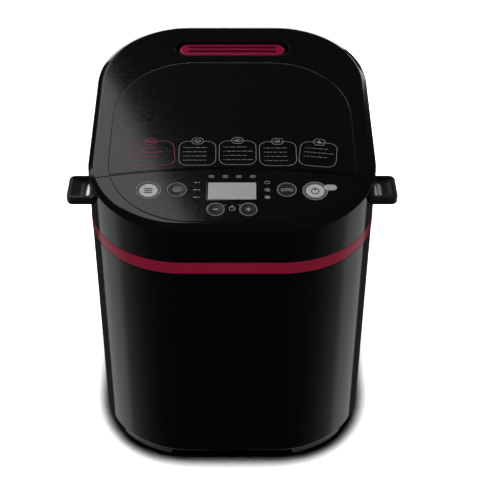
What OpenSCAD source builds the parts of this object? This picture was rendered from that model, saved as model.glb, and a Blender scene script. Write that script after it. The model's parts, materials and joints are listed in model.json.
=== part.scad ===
// Bread machine: an oval-cornered body with a sloping top, a hinged lid, a control deck,
// a lift-out bread pan with a kneading paddle, and a belt drive under the baking chamber.
// The frame is +Z up, the front faces -Y, and the origin is on the standing surface.

/* [Body] */
// Width of the body without its grips
body_w = 256; // [250:1:262]
// Depth of the body from its front face to its back face
body_d = 278; // [276:1:280]
// Radius of the body's four upright corners
corner_r = 85; // [80:1:88]
// Height of the deck's front edge above the standing surface
deck_front_z = 280; // [278:1:284]
// Slope of the top towards the front, in degrees
deck_angle = 9.2; // [8.8:0.1:9.6]
// Thickness of the plastic walls
wall = 2.6; // [2.4:0.1:2.8]
// Height of the band's lower edge
band_z = 234; // [230:1:236]
// Height of the coloured band
band_h = 12; // [10:1:12]
// Height of the corner feet
foot_h = 8; // [7:0.5:9]

/* [Lid] */
// Depth of the lid's skirt below the top's plane
lid_skirt = 14; // [14:0.5:15]
// Radius of the arc that parts the lid from the deck
split_r = 636; // [630:1:646]
// Place of that arc's middle in Y
split_y = -67.7; // [-68.2:0.1:-67.2]
// Gap between the lid and the deck along the arc
split_gap = 0.8; // [0.8:0.1:1]

/* [Chamber and pan] */
// Inner width of the baking chamber
chamber_w = 204; // [202:1:206]
// Inner depth of the baking chamber
chamber_d = 156; // [154:1:158]
// Place of the chamber's middle in Y
chamber_y = 21; // [20.5:0.1:21.5]
// Height of the chamber's floor
chamber_z = 66; // [66:0.5:66.5]
// Outer width of the bread pan
pan_w = 164; // [160:1:166]
// Outer depth of the bread pan
pan_d = 122; // [118:1:124]
// Height of the bread pan's underside
pan_z = 88; // [88:0.5:88.5]
// Height of the bread pan
pan_h = 134; // [130:1:134]
// Radius that the pan's handle swings on
bail_r = 40; // [38:1:40]

/* [Drive] */
// Place of the motor's shaft in Y
motor_y = -98; // [-99:0.5:-97]
// Radius of the belt's run on the large pulley
large_pulley_r = 44; // [42:1:45]
// Radius of the belt's run on the small pulley
small_pulley_r = 9; // [8:0.5:10]

/* [Controls] */
// Radius of the large menu and start buttons
large_button_r = 8.2; // [8:0.1:8.4]
// Radius of the two side buttons
side_button_r = 7.6; // [7.2:0.1:7.8]
// Radius of the two timer buttons
timer_button_r = 6.8; // [6.4:0.1:7]
// Gap around every button
button_gap = 0.3; // [0.25:0.05:0.35]

/* [Hidden] */
$fn = 96;
slope = tan(deck_angle);
front_y = -140;
mid_y = front_y + body_d / 2;
back_y = front_y + body_d;
far = 400;
past = 1;
arc_fn = 720;
deck_t = 2.5;
step_in = 3;
zone_mid = 60;
zone_d = 320;
deck_bottom = -0.8;
rim_gap = 0.6;
rim_top = -lid_skirt - rim_gap;
rim_t = 2.4;
rim_bottom = rim_top - rim_t;
upper_z = band_z + band_h;
housing_fit = 0.3;
inner_fit = 3;

chamber_r = 24;
sheet_t = 0.8;
plug_gap = 1.5;

hinge_y = back_y - 2;
hinge_r = 4;
hinge_z = deck_z(hinge_y) - lid_skirt - hinge_r;
hinge_x = 40;
knuckle_w = 11.4;
knuckle_gap = 0.3;
pin_half = 11.6;
pin_hole_half = 13;
lug_w = 5.8;
lug_r = 3.7;
hinge_pin_r = 1.5;
running = 0.05;

panel_w = 218.8;
panel_r = 74;
panel_front = -131.9;
panel_back = 78.5;
panel_t = 0.8;
overlay_t = 0.6;
panel_edge = 1.2;
panel_fit = 0.2;

lid_screw_at = [[112, -46], [104, 84]];
lid_screw_seat = -15.3;
lid_head_r = 3.2;
frame_t = 1.8;

vent_y = 99.4;
vent_w = 112;
vent_d = 22;
grille_w = 103;
grille_d = 18;
grille_slot_w = 3.8;
grille_slot_at = 3;

foot_r = [66, 81];
foot_turn = [12, 52];
pad_h = 1.5;
pad_in = 3;
pad_turn_in = 4;

plate_z = 44;
plate_t = 2;
tray_floor_z = 8.5;
tray_t = 3;
tray_lip_h = 9;
tray_slot_pitch = 12;
tray_slot_w = 4;
tray_slots = [[62, 44], [-72, 30]];
post_r = 7;
screw_r = 1.6;
screw_depth = 12;
screw_head_r = 4;
screw_head_h = 2.6;
post_places = [[-96, -62], [96, -62], [-96, 96], [96, 96]];

pulley_z = 24;
pulley_h = 12;
flange_h = 1.5;
flange_w = 2.5;
belt_t = 1.8;
belt_gap = 0.1;
shaft_r = 4;
bush_r = 8;
motor_shaft_r = 3;
motor_r = 32;
motor_z = 60;
motor_h = 58;
stator_r = 28;
rotor_r = 19;
air_gap = 0.5;
motor_cap_t = 3;
core_low = 12;
core_high = 46;
capacitor_at = [66, -96];
capacitor_r = 13;
capacitor_h = 42;
fan_hub_r = 7;
fan_r = 27;
fan_h = 9;
fan_low = motor_h + 3;
blade_t = 1.6;

pan_r = 20;
pan_t = 2;
rim_out = 4;
seat_r = 50;
seat_t = 4;
bail_z = pan_z + pan_h + 10;
bail_grip_half = 34;
bail_cap_w = 2.2;
bail_over = 1.2;
bail_wire_r = 2.5;
ear_x = pan_w / 2 + 1;
ear_t = 3;
bail_x = ear_x + ear_t + bail_wire_r + 0.5;
ear_hole_r = bail_wire_r + 0.1;
hub_z = 97.4;
hub_h = 20;
hub_r = 9;
pan_bush_r = 9;
boss_r = 8;
coupling_r = 14;
dog_at = 9.5;
dog_w = 7;
dog_t = 6;
shaft_flat = 3;
blade_r = 46;
blade_h = 30;
blade_w = 5;
corner_bend = 12;

menu_at = [-72.3, -97.3];
loaf_at = [-47.8, -96.4];
minus_at = [-14.1, -119.9];
plus_at = [13.8, -119.9];
crust_at = [47.2, -96.4];
start_at = [71.7, -97.9];
button_places = [menu_at, loaf_at, minus_at, plus_at, crust_at, start_at];
button_sizes = [
    large_button_r, side_button_r, timer_button_r, timer_button_r, side_button_r, large_button_r,
];
large_ring_r = 11;
ring_w = 0.9;
side_ring_r = side_button_r + ring_w;
timer_ring_r = timer_button_r + ring_w;
ring_sizes = [large_ring_r, side_ring_r, timer_ring_r, timer_ring_r, side_ring_r, large_ring_r];
window_at = [0, -95.6];
window_w = 45;
window_d = 24.6;
window_t = 1.7;
lcd_size = [52, 31, 3.8];
glass_size = [42, 21.5, 1.9];
lamp_at = [85.0, -92.2];
lamp_w = 12;
lamp_d = 7.4;

grip_y = [-86, -51];
grip_x = 146;
grip_top = 276;
grip_t = 8;
grip_r = 6;
grip_root = 100;
grip_scoop_over = [16, 11, 14];
grip_scoop_under = [12, 8, 10];

cap_lift = 0.6;
cap_depth = 4.6;
cap_flange_w = 1.4;
cap_flange_t = 1.2;
plunger_r = 2;
plunger_end = 9.8;
board_low = -17.6;
board_t = 1.6;
board_w = 180;
board_d = 38;
board_mid_y = -101;

power_x = -96;
power_y = -73.6;
power_w = 56;
power_h = 98;

rear_slot_pitch = 9;
rear_slot_z = 150;
rear_slot_h = 46;
rear_slot_w = 3.6;

gland_x = 30;
gland_z = 32;
gland_r = 7;
gland_bore_r = 3.6;

sensor_x = -50;
sensor_z = 150;
sensor_r = 4;
fuse_x = 40;
fuse_z = 118;
fuse_size = [24, 5, 12];
flange_out = 9;

heater_w = 190;
heater_d = 142;
heater_r = 3.25;
heater_z = 104;
heater_bend = 26;
heater_gap = 15;

// Height of the top's plane at depth y
function deck_z(y) = deck_front_z + slope * (y - front_y);

// A rectangle with four round corners, about its own middle
module rounded(w, d, r) {
    square([w - 2 * r, d], center = true);
    square([w, d - 2 * r], center = true);
    for (sx = [-1, 1], sy = [-1, 1])
        translate([sx * (w / 2 - r), sy * (d / 2 - r)]) circle(r);
}

// A slot with two half-round ends, lying along X
module stadium(w, d) {
    square([w - d, d], center = true);
    for (s = [-1, 1]) translate([s * (w - d) / 2, 0]) circle(d / 2);
}

// The body's plan, drawn in by i
module plan(i = 0) {
    translate([0, mid_y]) rounded(body_w - 2 * i, body_d - 2 * i, corner_r - i);
}

// The plan in front of the split arc, drawn in from the arc by g
module front_zone(g) {
    translate([0, split_y - split_r]) circle(split_r - g, $fn = arc_fn);
}

// The plan behind the split arc
module rear_zone(g) {
    difference() {
        translate([0, split_y + zone_mid]) square([body_w + 20, zone_d], center = true);
        translate([0, split_y - split_r]) circle(split_r + g, $fn = arc_fn);
    }
}

// The panel outline that runs over the lid and the deck
module panel_plan(i = 0) {
    translate([0, (panel_front + panel_back) / 2])
        rounded(panel_w - 2 * i, panel_back - panel_front - 2 * i, panel_r - i);
}

module chamber_plan(i = 0) {
    translate([0, chamber_y]) rounded(chamber_w - 2 * i, chamber_d - 2 * i, chamber_r - i);
}

module pan_plan(i = 0) {
    translate([0, chamber_y]) rounded(pan_w - 2 * i, pan_d - 2 * i, pan_r - i);
}

// The space between two planes that are parallel to the sloping top
module slab(low, high) {
    rotate([90, 0, 90])
        linear_extrude(far, center = true)
            polygon([
                [-far / 2, deck_z(-far / 2) + low],
                [far / 2, deck_z(far / 2) + low],
                [far / 2, deck_z(far / 2) + high],
                [-far / 2, deck_z(-far / 2) + high],
            ]);
}

// A plan shape raised between two sloping planes
module sloped(low, high) {
    intersection() {
        slab(low, high);
        linear_extrude(far) children();
    }
}

// A plan shape raised from a level height to a sloping plane
module raised(z, high) {
    intersection() {
        slab(-far, high);
        translate([0, 0, z]) linear_extrude(far) children();
    }
}

// Places children on the sloping top's upper surface, with local Z square to it
module on_deck(at) {
    translate([at[0], at[1], deck_z(at[1]) + deck_t]) rotate([deck_angle, 0, 0]) children();
}

// An upright cylinder between two heights
module rod(r, z0, z1) {
    translate([0, 0, z0]) cylinder(r = r, h = z1 - z0);
}

// A hollow upright cylinder between two heights
module tube(r, bore, z0, z1) {
    difference() {
        rod(r, z0, z1);
        rod(bore, z0 - 1, z1 + 1);
    }
}

// A cylinder along X between two places
module bar_x(r, x0, x1) {
    translate([x0, 0, 0]) rotate([0, 90, 0]) cylinder(r = r, h = x1 - x0);
}

// A sector of a ring in each corner of the body
module corner_sector(r, turn, z0, z1) {
    cx = body_w / 2 - corner_r;
    cy = body_d / 2 - corner_r;
    for (sx = [0, 1], sy = [0, 1])
        translate([0, mid_y, 0]) mirror([sx, 0, 0]) mirror([0, sy, 0])
            translate([cx, cy, 0]) rotate([0, 0, 90 - turn[1]])
                rotate_extrude(angle = turn[1] - turn[0])
                    translate([r[0], z0]) square([r[1] - r[0], z1 - z0]);
}

module corner_feet() {
    color("#26272a") corner_sector(foot_r, foot_turn, pad_h, tray_floor_z);
}

module foot_pads() {
    color("#141414") corner_sector(
        [foot_r[0] + pad_in, foot_r[1] - pad_in],
        [foot_turn[0] + pad_turn_in, foot_turn[1] - pad_turn_in], 0, pad_h);
}

module base_tray() {
    color("#1d1d1f") difference() {
        union() {
            translate([0, 0, tray_floor_z]) linear_extrude(tray_t) plan(wall + housing_fit);
            translate([0, 0, tray_floor_z + tray_t]) linear_extrude(tray_lip_h) difference() {
                plan(wall + housing_fit);
                plan(2 * wall + housing_fit);
            }
            for (p = post_places) translate([p[0], p[1], 0]) rod(post_r, tray_floor_z, plate_z);
        }
        for (p = post_places) translate([p[0], p[1], 0])
            rod(screw_r, plate_z - screw_depth - 2, plate_z + past);
        for (row = tray_slots, i = [-4:4]) translate([i * tray_slot_pitch, row[0], 0])
            linear_extrude(plate_z) rotate(90) stadium(row[1], tray_slot_w);
    }
}

module lower_housing() {
    color("#0f0f11") difference() {
        translate([0, 0, foot_h]) linear_extrude(band_z - foot_h) plan();
        linear_extrude(far) plan(wall);
        translate([gland_x, 0, gland_z]) rotate([-90, 0, 0]) cylinder(r = gland_r, h = far);
        for (i = [-3:3]) translate([i * rear_slot_pitch, back_y, rear_slot_z]) rotate([90, 0, 0])
            linear_extrude(20, center = true) rotate(90) stadium(rear_slot_h, rear_slot_w);
    }
}

module trim_band() {
    color("#7d0529") difference() {
        translate([0, 0, band_z]) linear_extrude(band_h) plan();
        linear_extrude(far) plan(wall);
    }
}

// Holes in the deck for the buttons, the window and the lamp
module deck_holes(gap) {
    for (i = [0:5]) on_deck(button_places[i]) cylinder(r = button_sizes[i] + gap, h = 12, center = true);
    on_deck(window_at) linear_extrude(12, center = true) square([window_w, window_d], center = true);
    on_deck(lamp_at) linear_extrude(12, center = true) stadium(lamp_w, lamp_d);
}

// The stepped edge where the sloping top meets the upright wall
module top_steps() {
    sloped(-1, 0) plan();
    sloped(0, deck_t / 2) plan(step_in);
    sloped(deck_t / 2, deck_t) plan(2 * step_in);
}

// Pocket in the housing for a lid knuckle
module knuckle_pockets() {
    for (s = [-1, 1])
        translate([s * hinge_x, hinge_y - hinge_r - 1, hinge_z - hinge_r - 0.4])
            translate([-knuckle_w / 2 - knuckle_gap, 0, 0]) cube([knuckle_w + 2 * knuckle_gap, 20, 30]);
}

// What the rear rim loses so that the lid's skirt can turn over it
module rear_round() {
    difference() {
        translate([-body_w / 2, hinge_y, hinge_z]) cube([body_w, 5, 8]);
        translate([0, hinge_y, hinge_z]) bar_x(lug_r, -body_w / 2 - 1, body_w / 2 + 1);
    }
}

module housing_shell() {
    difference() {
        union() {
            raised(upper_z, rim_top) plan();
            intersection() {
                raised(upper_z, -0.5) plan();
                linear_extrude(far) front_zone(split_gap / 2);
            }
            intersection() {
                top_steps();
                linear_extrude(far) front_zone(split_gap / 2);
            }
        }
        intersection() {
            raised(upper_z - 1, deck_bottom) plan(wall);
            linear_extrude(far) front_zone(split_gap / 2 + 2.4);
        }
        raised(upper_z - 1, rim_bottom) plan(wall);
        linear_extrude(far) chamber_plan();
        rear_round();
    }
}

module upper_housing() {
    color("#101012") difference() {
        union() {
            difference() {
                housing_shell();
                knuckle_pockets();
            }
            for (s = [-1, 1], k = [-1, 1])
                translate([s * hinge_x + k * (knuckle_w + lug_w + 2 * knuckle_gap) / 2, hinge_y, hinge_z])
                    bar_x(lug_r, -lug_w / 2, lug_w / 2);
        }
        for (s = [-1, 1])
            translate([s * hinge_x, hinge_y, hinge_z]) bar_x(hinge_pin_r, -pin_hole_half, pin_hole_half);
        intersection() {
            sloped(deck_t - overlay_t, deck_t + 1) panel_plan();
            linear_extrude(far) front_zone(split_gap / 2 + panel_edge);
        }
        deck_holes(button_gap);
    }
}

module control_overlay() {
    color("#17181a") difference() {
        sloped(deck_t - overlay_t, deck_t) intersection() {
            panel_plan(panel_fit);
            front_zone(split_gap / 2 + panel_edge + panel_fit);
        }
        deck_holes(button_gap);
    }
}

module button_bezels() {
    color("#9c9fa3") for (i = [0:5]) on_deck(button_places[i]) difference() {
        tube(ring_sizes[i], button_sizes[i] + button_gap, 0, 0.4);
        if (i == 5) translate(lamp_at - start_at) linear_extrude(3) stadium(lamp_w + 0.6, lamp_d + 0.6);
    }
}

module display_window() {
    color("#9fa5a3") on_deck(window_at) translate([0, 0, 0.1 - window_t])
        linear_extrude(window_t) square([window_w - panel_fit, window_d - panel_fit], center = true);
}

module lcd_module() {
    color("#8d938f") on_deck(window_at) {
        translate([-lcd_size[0] / 2, -lcd_size[1] / 2, -7.4]) cube(lcd_size);
        translate([-glass_size[0] / 2, -glass_size[1] / 2, -3.7]) cube(glass_size);
    }
}

module indicator_light() {
    color("#c9cbcd") on_deck(lamp_at) {
        translate([0, 0, -3.4]) linear_extrude(3.8) stadium(lamp_w - 0.3, lamp_d - 0.3);
        rod(2.2, -9, -3.3);
    }
}

module control_board() {
    color("#2f6b3f") {
        sloped(board_low, board_low + board_t) intersection() {
            translate([0, board_mid_y]) square([board_w, board_d], center = true);
            plan(wall + inner_fit);
        }
        for (p = button_places) on_deck(p) {
            translate([0, 0, board_low + 1]) linear_extrude(3) square([6, 6], center = true);
            rod(1.6, board_low + 3.6, board_low + 6.6);
        }
    }
}

// Places a part on the power board's front, standing out from it by d
module on_power_board(x, z, d) {
    translate([power_x + x, power_y - d, z]) children();
}

module power_board() {
    color("#3f6a35") {
        low = plate_z + plate_t;
        translate([power_x, power_y, low]) cube([power_w, board_t, power_h]);
        for (x = [6, power_w - 12]) on_power_board(x, low, 8) cube([6, 8.2, 6]);
        on_power_board(6, low + 20, 20) cube([34, 20.2, 28]);
        on_power_board(8, low + 54, 14) cube([16, 14.2, 20]);
        for (i = [0:2]) on_power_board(34 + i * 8, low + 62, -0.2)
            rotate([90, 0, 0]) cylinder(r = 3.5, h = 12.2);
    }
}

// A round hollow along a grip, from its radius and its middle's place in from the end
module grip_scoop(side, mid, scoop, z) {
    translate([side * (grip_x - scoop[1]), mid, z]) rotate([90, 0, 0])
        cylinder(r = scoop[0], h = grip_y[1] - grip_y[0] - 10, center = true);
}

module grip(side) {
    length = grip_y[1] - grip_y[0];
    mid = (grip_y[0] + grip_y[1]) / 2;
    color("#121214") difference() {
        translate([0, 0, grip_top - grip_t]) linear_extrude(grip_t) difference() {
            union() {
                translate([side > 0 ? grip_root : -grip_x + grip_r, grip_y[0]])
                    square([grip_x - grip_r - grip_root, length]);
                translate([side > 0 ? grip_x - grip_r - 0.1 : -grip_x, grip_y[0] + grip_r])
                    square([grip_r + 0.1, length - 2 * grip_r]);
                for (e = [0, 1])
                    translate([side * (grip_x - grip_r), grip_y[e] + (e == 0 ? grip_r : -grip_r)])
                        circle(grip_r);
            }
            plan();
        }
        grip_scoop(side, mid, grip_scoop_over, grip_top + grip_scoop_over[2]);
        grip_scoop(side, mid, grip_scoop_under, grip_top - grip_t - grip_scoop_under[2]);
    }
}

module left_grip() {
    grip(-1);
}

module right_grip() {
    grip(1);
}

module oven_chamber() {
    color("#b9babb") difference() {
        union() {
            raised(chamber_z, rim_bottom) chamber_plan(-sheet_t);
            sloped(rim_bottom - 1, rim_bottom) chamber_plan(-flange_out);
        }
        raised(chamber_z + sheet_t, 50) chamber_plan();
        translate([0, chamber_y, 0]) rod(9, chamber_z - 1, chamber_z + 3);
        for (s = [-1, 1]) translate([s * heater_gap, chamber_y + 60, heater_z]) rotate([-90, 0, 0])
            cylinder(r = heater_r + 0.3, h = 40);
        translate([sensor_x, chamber_y - 60, sensor_z]) rotate([90, 0, 0]) cylinder(r = sensor_r, h = 40);
    }
}

module heating_element() {
    hx = heater_w / 2;
    hy = heater_d / 2;
    color("#4a4744") translate([0, chamber_y, heater_z]) {
        for (s = [-1, 1]) {
            translate([s * hx, hy - heater_bend, 0]) rotate([90, 0, 0])
                cylinder(r = heater_r, h = 2 * (hy - heater_bend));
            translate([s * (hx - heater_bend), hy - heater_bend, 0]) rotate([0, 0, s > 0 ? 0 : 90])
                rotate_extrude(angle = 90) translate([heater_bend, 0]) circle(heater_r);
            translate([s * (hx - heater_bend), -hy + heater_bend, 0]) rotate([0, 0, s > 0 ? 270 : 180])
                rotate_extrude(angle = 90) translate([heater_bend, 0]) circle(heater_r);
            translate([s > 0 ? heater_gap : -hx + heater_bend, hy, 0])
                bar_x(heater_r, 0, hx - heater_bend - heater_gap);
            translate([s * heater_gap, hy, 0]) sphere(heater_r);
            translate([s * heater_gap, hy, 0]) rotate([-90, 0, 0]) cylinder(r = heater_r, h = 22);
        }
        translate([0, -hy, 0]) bar_x(heater_r, -hx + heater_bend, hx - heater_bend);
        for (sx = [-1, 1], sy = [-1, 1]) translate([sx * 58, sy * hy, 0])
            rod(2, chamber_z + sheet_t - heater_z, 0);
    }
}

module temperature_sensor() {
    color("#c9c9c4") translate([sensor_x, chamber_y - chamber_d / 2, sensor_z]) rotate([90, 0, 0]) {
        translate([0, 0, -5]) cylinder(r = sensor_r, h = 20);
        translate([0, 0, sheet_t]) cylinder(r = sensor_r + 3, h = 3);
    }
}

module thermal_fuse() {
    color("#d6d2c4") translate([fuse_x, chamber_y - chamber_d / 2 - sheet_t - fuse_size[1], fuse_z]) {
        cube(fuse_size);
        for (x = [4, fuse_size[0] - 4]) translate([x, -5, fuse_size[2] / 2])
            rotate([-90, 0, 0]) cylinder(r = 1.5, h = 5.5);
    }
}

module pan_seat() {
    color("#8f9194") translate([0, chamber_y, 0]) {
        tube(seat_r + seat_t, seat_r, chamber_z + sheet_t, chamber_z + 8);
        for (s = [-1, 1]) translate([s * (seat_r + 6) - 4, -10, chamber_z + sheet_t]) cube([8, 20, 2]);
    }
}

module chassis_plate() {
    color("#a8aaad") difference() {
        translate([0, 0, plate_z]) linear_extrude(plate_t) plan(wall + inner_fit);
        for (p = post_places) translate([p[0], p[1], 0])
            rod(screw_r + 0.2, plate_z - past, plate_z + plate_t + past);
        for (y = [chamber_y, motor_y]) translate([0, y, 0])
            rod(shaft_r + 2, plate_z - past, plate_z + plate_t + past);
    }
}

module chassis_screws() {
    color("#c4c6c8") for (p = post_places) translate([p[0], p[1], 0]) {
        rod(screw_r, plate_z - screw_depth, plate_z + plate_t);
        rod(screw_head_r, plate_z + plate_t, plate_z + plate_t + screw_head_h);
    }
}

module motor_frame() {
    top = motor_z + motor_h;
    color("#7b7e82") translate([0, motor_y, 0]) difference() {
        union() {
            tube(motor_r, stator_r, motor_z, top);
            rod(motor_r, motor_z, motor_z + motor_cap_t);
            rod(motor_r, top - motor_cap_t, top);
            rod(boss_r, motor_z, motor_z + 7);
            rod(boss_r, top - 7, top);
        }
        rod(motor_shaft_r + running, motor_z - 1, top + 1);
        for (a = [0:60:300]) rotate([0, 0, a]) translate([19, 0, top - 4]) rod(4, 0, 6);
    }
}

module motor_stator() {
    color("#9a5a2c") translate([0, motor_y, 0]) {
        tube(stator_r, rotor_r + air_gap, motor_z + core_low, motor_z + core_high);
        tube(stator_r - 2, rotor_r + 2, motor_z + core_low - 4, motor_z + core_high + 4);
    }
}

module motor_mounts() {
    color("#1a1a1a") for (sx = [-1, 1], sy = [-1, 1])
        translate([sx * 20, motor_y + sy * 18, 0]) rod(5, plate_z + plate_t, motor_z);
}

module run_capacitor() {
    top = plate_z + plate_t + capacitor_h;
    color("#d9d9d6") translate([capacitor_at[0], capacitor_at[1], 0]) {
        rod(capacitor_r, plate_z + plate_t, top);
        for (s = [-1, 1]) translate([s * 5, 0, 0]) rod(1.2, top - 1, top + 6);
    }
}

module bearing_housing() {
    low = plate_z + plate_t;
    color("#b4b6b8") translate([0, chamber_y, 0]) difference() {
        union() {
            rod(13, low, chamber_z);
            rod(28, low, low + 3);
            rod(25, chamber_z - 3, chamber_z);
        }
        rod(bush_r, low - 1, chamber_z + 1);
    }
}

module drive_bearings() {
    low = plate_z + plate_t;
    color("#b5884a") translate([0, chamber_y, 0]) {
        tube(bush_r, shaft_r + running, low, low + 8);
        tube(bush_r, shaft_r + running, chamber_z - 8, chamber_z);
    }
}

// Outline around both pulleys, o outside their belt runs
module belt_plan(o) {
    span = chamber_y - motor_y;
    lean = asin((large_pulley_r - small_pulley_r) / span);
    steps = 30;
    big_turn = 180 + 2 * lean;
    small_turn = 180 - 2 * lean;
    big = (large_pulley_r + o) / cos(big_turn / steps / 2);
    small = (small_pulley_r + o) / cos(small_turn / steps / 2);
    polygon([
        for (i = [0:steps]) let (a = -lean + big_turn * i / steps)
            [big * cos(a), chamber_y + big * sin(a)],
        for (i = [0:steps]) let (a = 180 + lean + small_turn * i / steps)
            [small * cos(a), motor_y + small * sin(a)],
    ]);
}

module drive_belt() {
    color("#161616") translate([0, 0, pulley_z + flange_h + 0.5])
        linear_extrude(pulley_h - 2 * flange_h - 1) difference() {
            belt_plan(belt_gap + belt_t);
            belt_plan(belt_gap);
        }
}

module hinge_pins() {
    color("#c4c6c8") for (s = [-1, 1])
        translate([s * hinge_x, hinge_y, hinge_z]) bar_x(hinge_pin_r, -pin_half, pin_half);
}

module cord_gland() {
    color("#161617") translate([gland_x, 0, gland_z]) rotate([-90, 0, 0]) difference() {
        union() {
            translate([0, 0, back_y - 10]) cylinder(r = gland_r, h = 10);
            translate([0, 0, back_y]) cylinder(r = gland_r + 2, h = 2);
        }
        cylinder(r = gland_bore_r, h = far);
    }
}

module lid_shell() {
    difference() {
        intersection() {
            union() {
                sloped(-lid_skirt, 0) plan();
                top_steps();
            }
            linear_extrude(far) rear_zone(split_gap / 2);
        }
        sloped(-lid_skirt - 1, -0.6) intersection() {
            plan(wall);
            rear_zone(split_gap / 2 + 3.8);
        }
        sloped(-lid_skirt - 1, -6) difference() {
            plan(-2);
            rear_zone(split_gap / 2 + 1.4);
        }
    }
}

module lid_cover() {
    color("#111113") difference() {
        union() {
            lid_shell();
            sloped(-3.5, -0.5) translate([0, vent_y]) stadium(vent_w + 6, vent_d + 6);
            for (s = [-1, 1]) translate([s * hinge_x - knuckle_w / 2, hinge_y, hinge_z]) {
                bar_x(hinge_r, 0, knuckle_w);
                translate([0, -0.6, 0]) cube([knuckle_w, 2.6, 5.4]);
            }
        }
        for (s = [-1, 1])
            translate([s * hinge_x, hinge_y, hinge_z])
                bar_x(hinge_pin_r + running, -pin_hole_half, pin_hole_half);
        sloped(-1.6, deck_t + 1) translate([0, vent_y]) stadium(vent_w, vent_d);
        sloped(-5, 0) translate([0, vent_y]) stadium(grille_w - 8, grille_d - 8);
        sloped(deck_t - panel_t, deck_t + 1) intersection() {
            panel_plan();
            rear_zone(split_gap / 2 + panel_edge);
        }
    }
}

module lid_panel() {
    color("#17181a") sloped(deck_t - panel_t, deck_t) intersection() {
        panel_plan(panel_fit);
        rear_zone(split_gap / 2 + panel_edge + panel_fit);
    }
}

module vent_grille() {
    color("#7d0529") sloped(-1.6, 1.2) translate([0, vent_y]) difference() {
        stadium(grille_w, grille_d);
        for (s = [-1, 1]) translate([0, s * grille_slot_at]) stadium(grille_w - 16, grille_slot_w);
    }
}

module lid_inner_frame() {
    color("#1b1b1d") difference() {
        sloped(-lid_skirt, -lid_skirt + frame_t) intersection() {
            plan(wall + housing_fit);
            rear_zone(split_gap / 2 + 4.2);
        }
        sloped(-lid_skirt - 1, 0) chamber_plan(14);
        lid_screw_places() rod(screw_r + 0.2, -20, 0);
        lid_screw_places() rod(lid_head_r + 0.2, -20, lid_screw_seat + 0.1);
    }
}

// The four places where the lid's inner frame is screwed up into the cover
module lid_screw_places() {
    for (s = [-1, 1], p = lid_screw_at) on_deck([s * p[0], p[1]]) children();
}

module lid_liner() {
    color("#c3c4c5") {
        sloped(-lid_skirt - 4.5, -lid_skirt - 3.6) chamber_plan(plug_gap);
        sloped(-lid_skirt - 3.7, -lid_skirt) difference() {
            chamber_plan(plug_gap);
            chamber_plan(plug_gap + 0.9);
        }
        sloped(-lid_skirt - 1, -lid_skirt) difference() {
            chamber_plan(plug_gap);
            chamber_plan(15);
        }
    }
}

module lid_seal() {
    color("#3a3a3c") sloped(-lid_skirt - 0.4, -lid_skirt) difference() {
        chamber_plan(-5);
        chamber_plan(-1);
    }
}

module lid_screws() {
    color("#c4c6c8") lid_screw_places() {
        rod(screw_r, lid_screw_seat, -8);
        rod(lid_head_r, lid_screw_seat - 0.9, lid_screw_seat);
    }
}

module bread_pan() {
    top = pan_z + pan_h;
    color("#6f7276") difference() {
        union() {
            translate([0, 0, pan_z]) linear_extrude(pan_h) pan_plan();
            translate([0, 0, top - 3]) linear_extrude(3.5) pan_plan(-rim_out);
        }
        translate([0, 0, pan_z + pan_t]) linear_extrude(pan_h) pan_plan(pan_t);
        translate([0, chamber_y, 0]) rod(pan_bush_r, pan_z - 1, pan_z + 5);
    }
}

// The two ears that stand on the pan's rim and carry its handle
module pan_ears() {
    top = pan_z + pan_h + 0.5;
    color("#8d9093") for (s = [-1, 1]) translate([s * (ear_x + ear_t / 2), chamber_y, 0]) difference() {
        union() {
            translate([-ear_t / 2, -boss_r, top]) cube([ear_t, 2 * boss_r, bail_z - top]);
            translate([0, 0, bail_z]) bar_x(boss_r, -ear_t / 2, ear_t / 2);
        }
        translate([0, 0, bail_z]) bar_x(ear_hole_r, -ear_t, ear_t);
    }
}

module pan_base() {
    color("#9da0a3") translate([0, chamber_y, 0]) difference() {
        union() {
            tube(seat_r - 2, seat_r - 5, chamber_z + 2, pan_z);
            rod(seat_r - 3, pan_z - 3, pan_z);
        }
        rod(pan_bush_r, pan_z - 5, pan_z + 1);
    }
}

module pan_bearing() {
    color("#b5884a") translate([0, chamber_y, 0]) tube(pan_bush_r, shaft_r + running, pan_z - 6, pan_z + 7);
}

module pan_seal() {
    color("#8a3b2a") translate([0, chamber_y, 0]) tube(6.5, shaft_r + running, pan_z + 7, pan_z + 8.6);
}

module pan_handle() {
    color("#b7b9bb") translate([0, chamber_y, bail_z]) {
        for (s = [-1, 1]) {
            translate([s > 0 ? ear_x - 2.6 : -bail_x, 0, 0]) bar_x(bail_wire_r, 0, bail_x - ear_x + 2.6);
            translate([s > 0 ? ear_x - 2.6 : -ear_x + 0.4, 0, 0])
                bar_x(bail_wire_r + bail_over, 0, bail_cap_w);
            translate([s * bail_x, 0, 0]) sphere(bail_wire_r);
            translate([s * bail_x, 0, 0]) rotate([-90, 0, 0]) cylinder(r = bail_wire_r, h = bail_r);
            translate([s * bail_x, bail_r, 0]) sphere(bail_wire_r);
        }
        translate([0, bail_r, 0]) bar_x(bail_wire_r, -bail_x, bail_x);
        translate([0, bail_r, 0]) bar_x(bail_wire_r + bail_over, -bail_grip_half, bail_grip_half);
    }
}

module pan_shaft() {
    color("#c6c8ca") translate([0, chamber_y, 0]) difference() {
        rod(shaft_r, pan_z - 8.4, hub_z + 16);
        translate([shaft_flat, -10, hub_z]) cube([10, 20, 40]);
    }
}

module pan_coupling() {
    color("#9c9ea1") translate([0, chamber_y, 0]) {
        tube(coupling_r, shaft_r, pan_z - 10.4, pan_z - 7.8);
        rod(shaft_r + 0.5, pan_z - 10.4, pan_z - 8.4);
        for (s = [-1, 1]) translate([-dog_t / 2, s * dog_at - dog_w / 2, chamber_z + 6])
            cube([dog_t, dog_w, 6]);
    }
}

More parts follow.
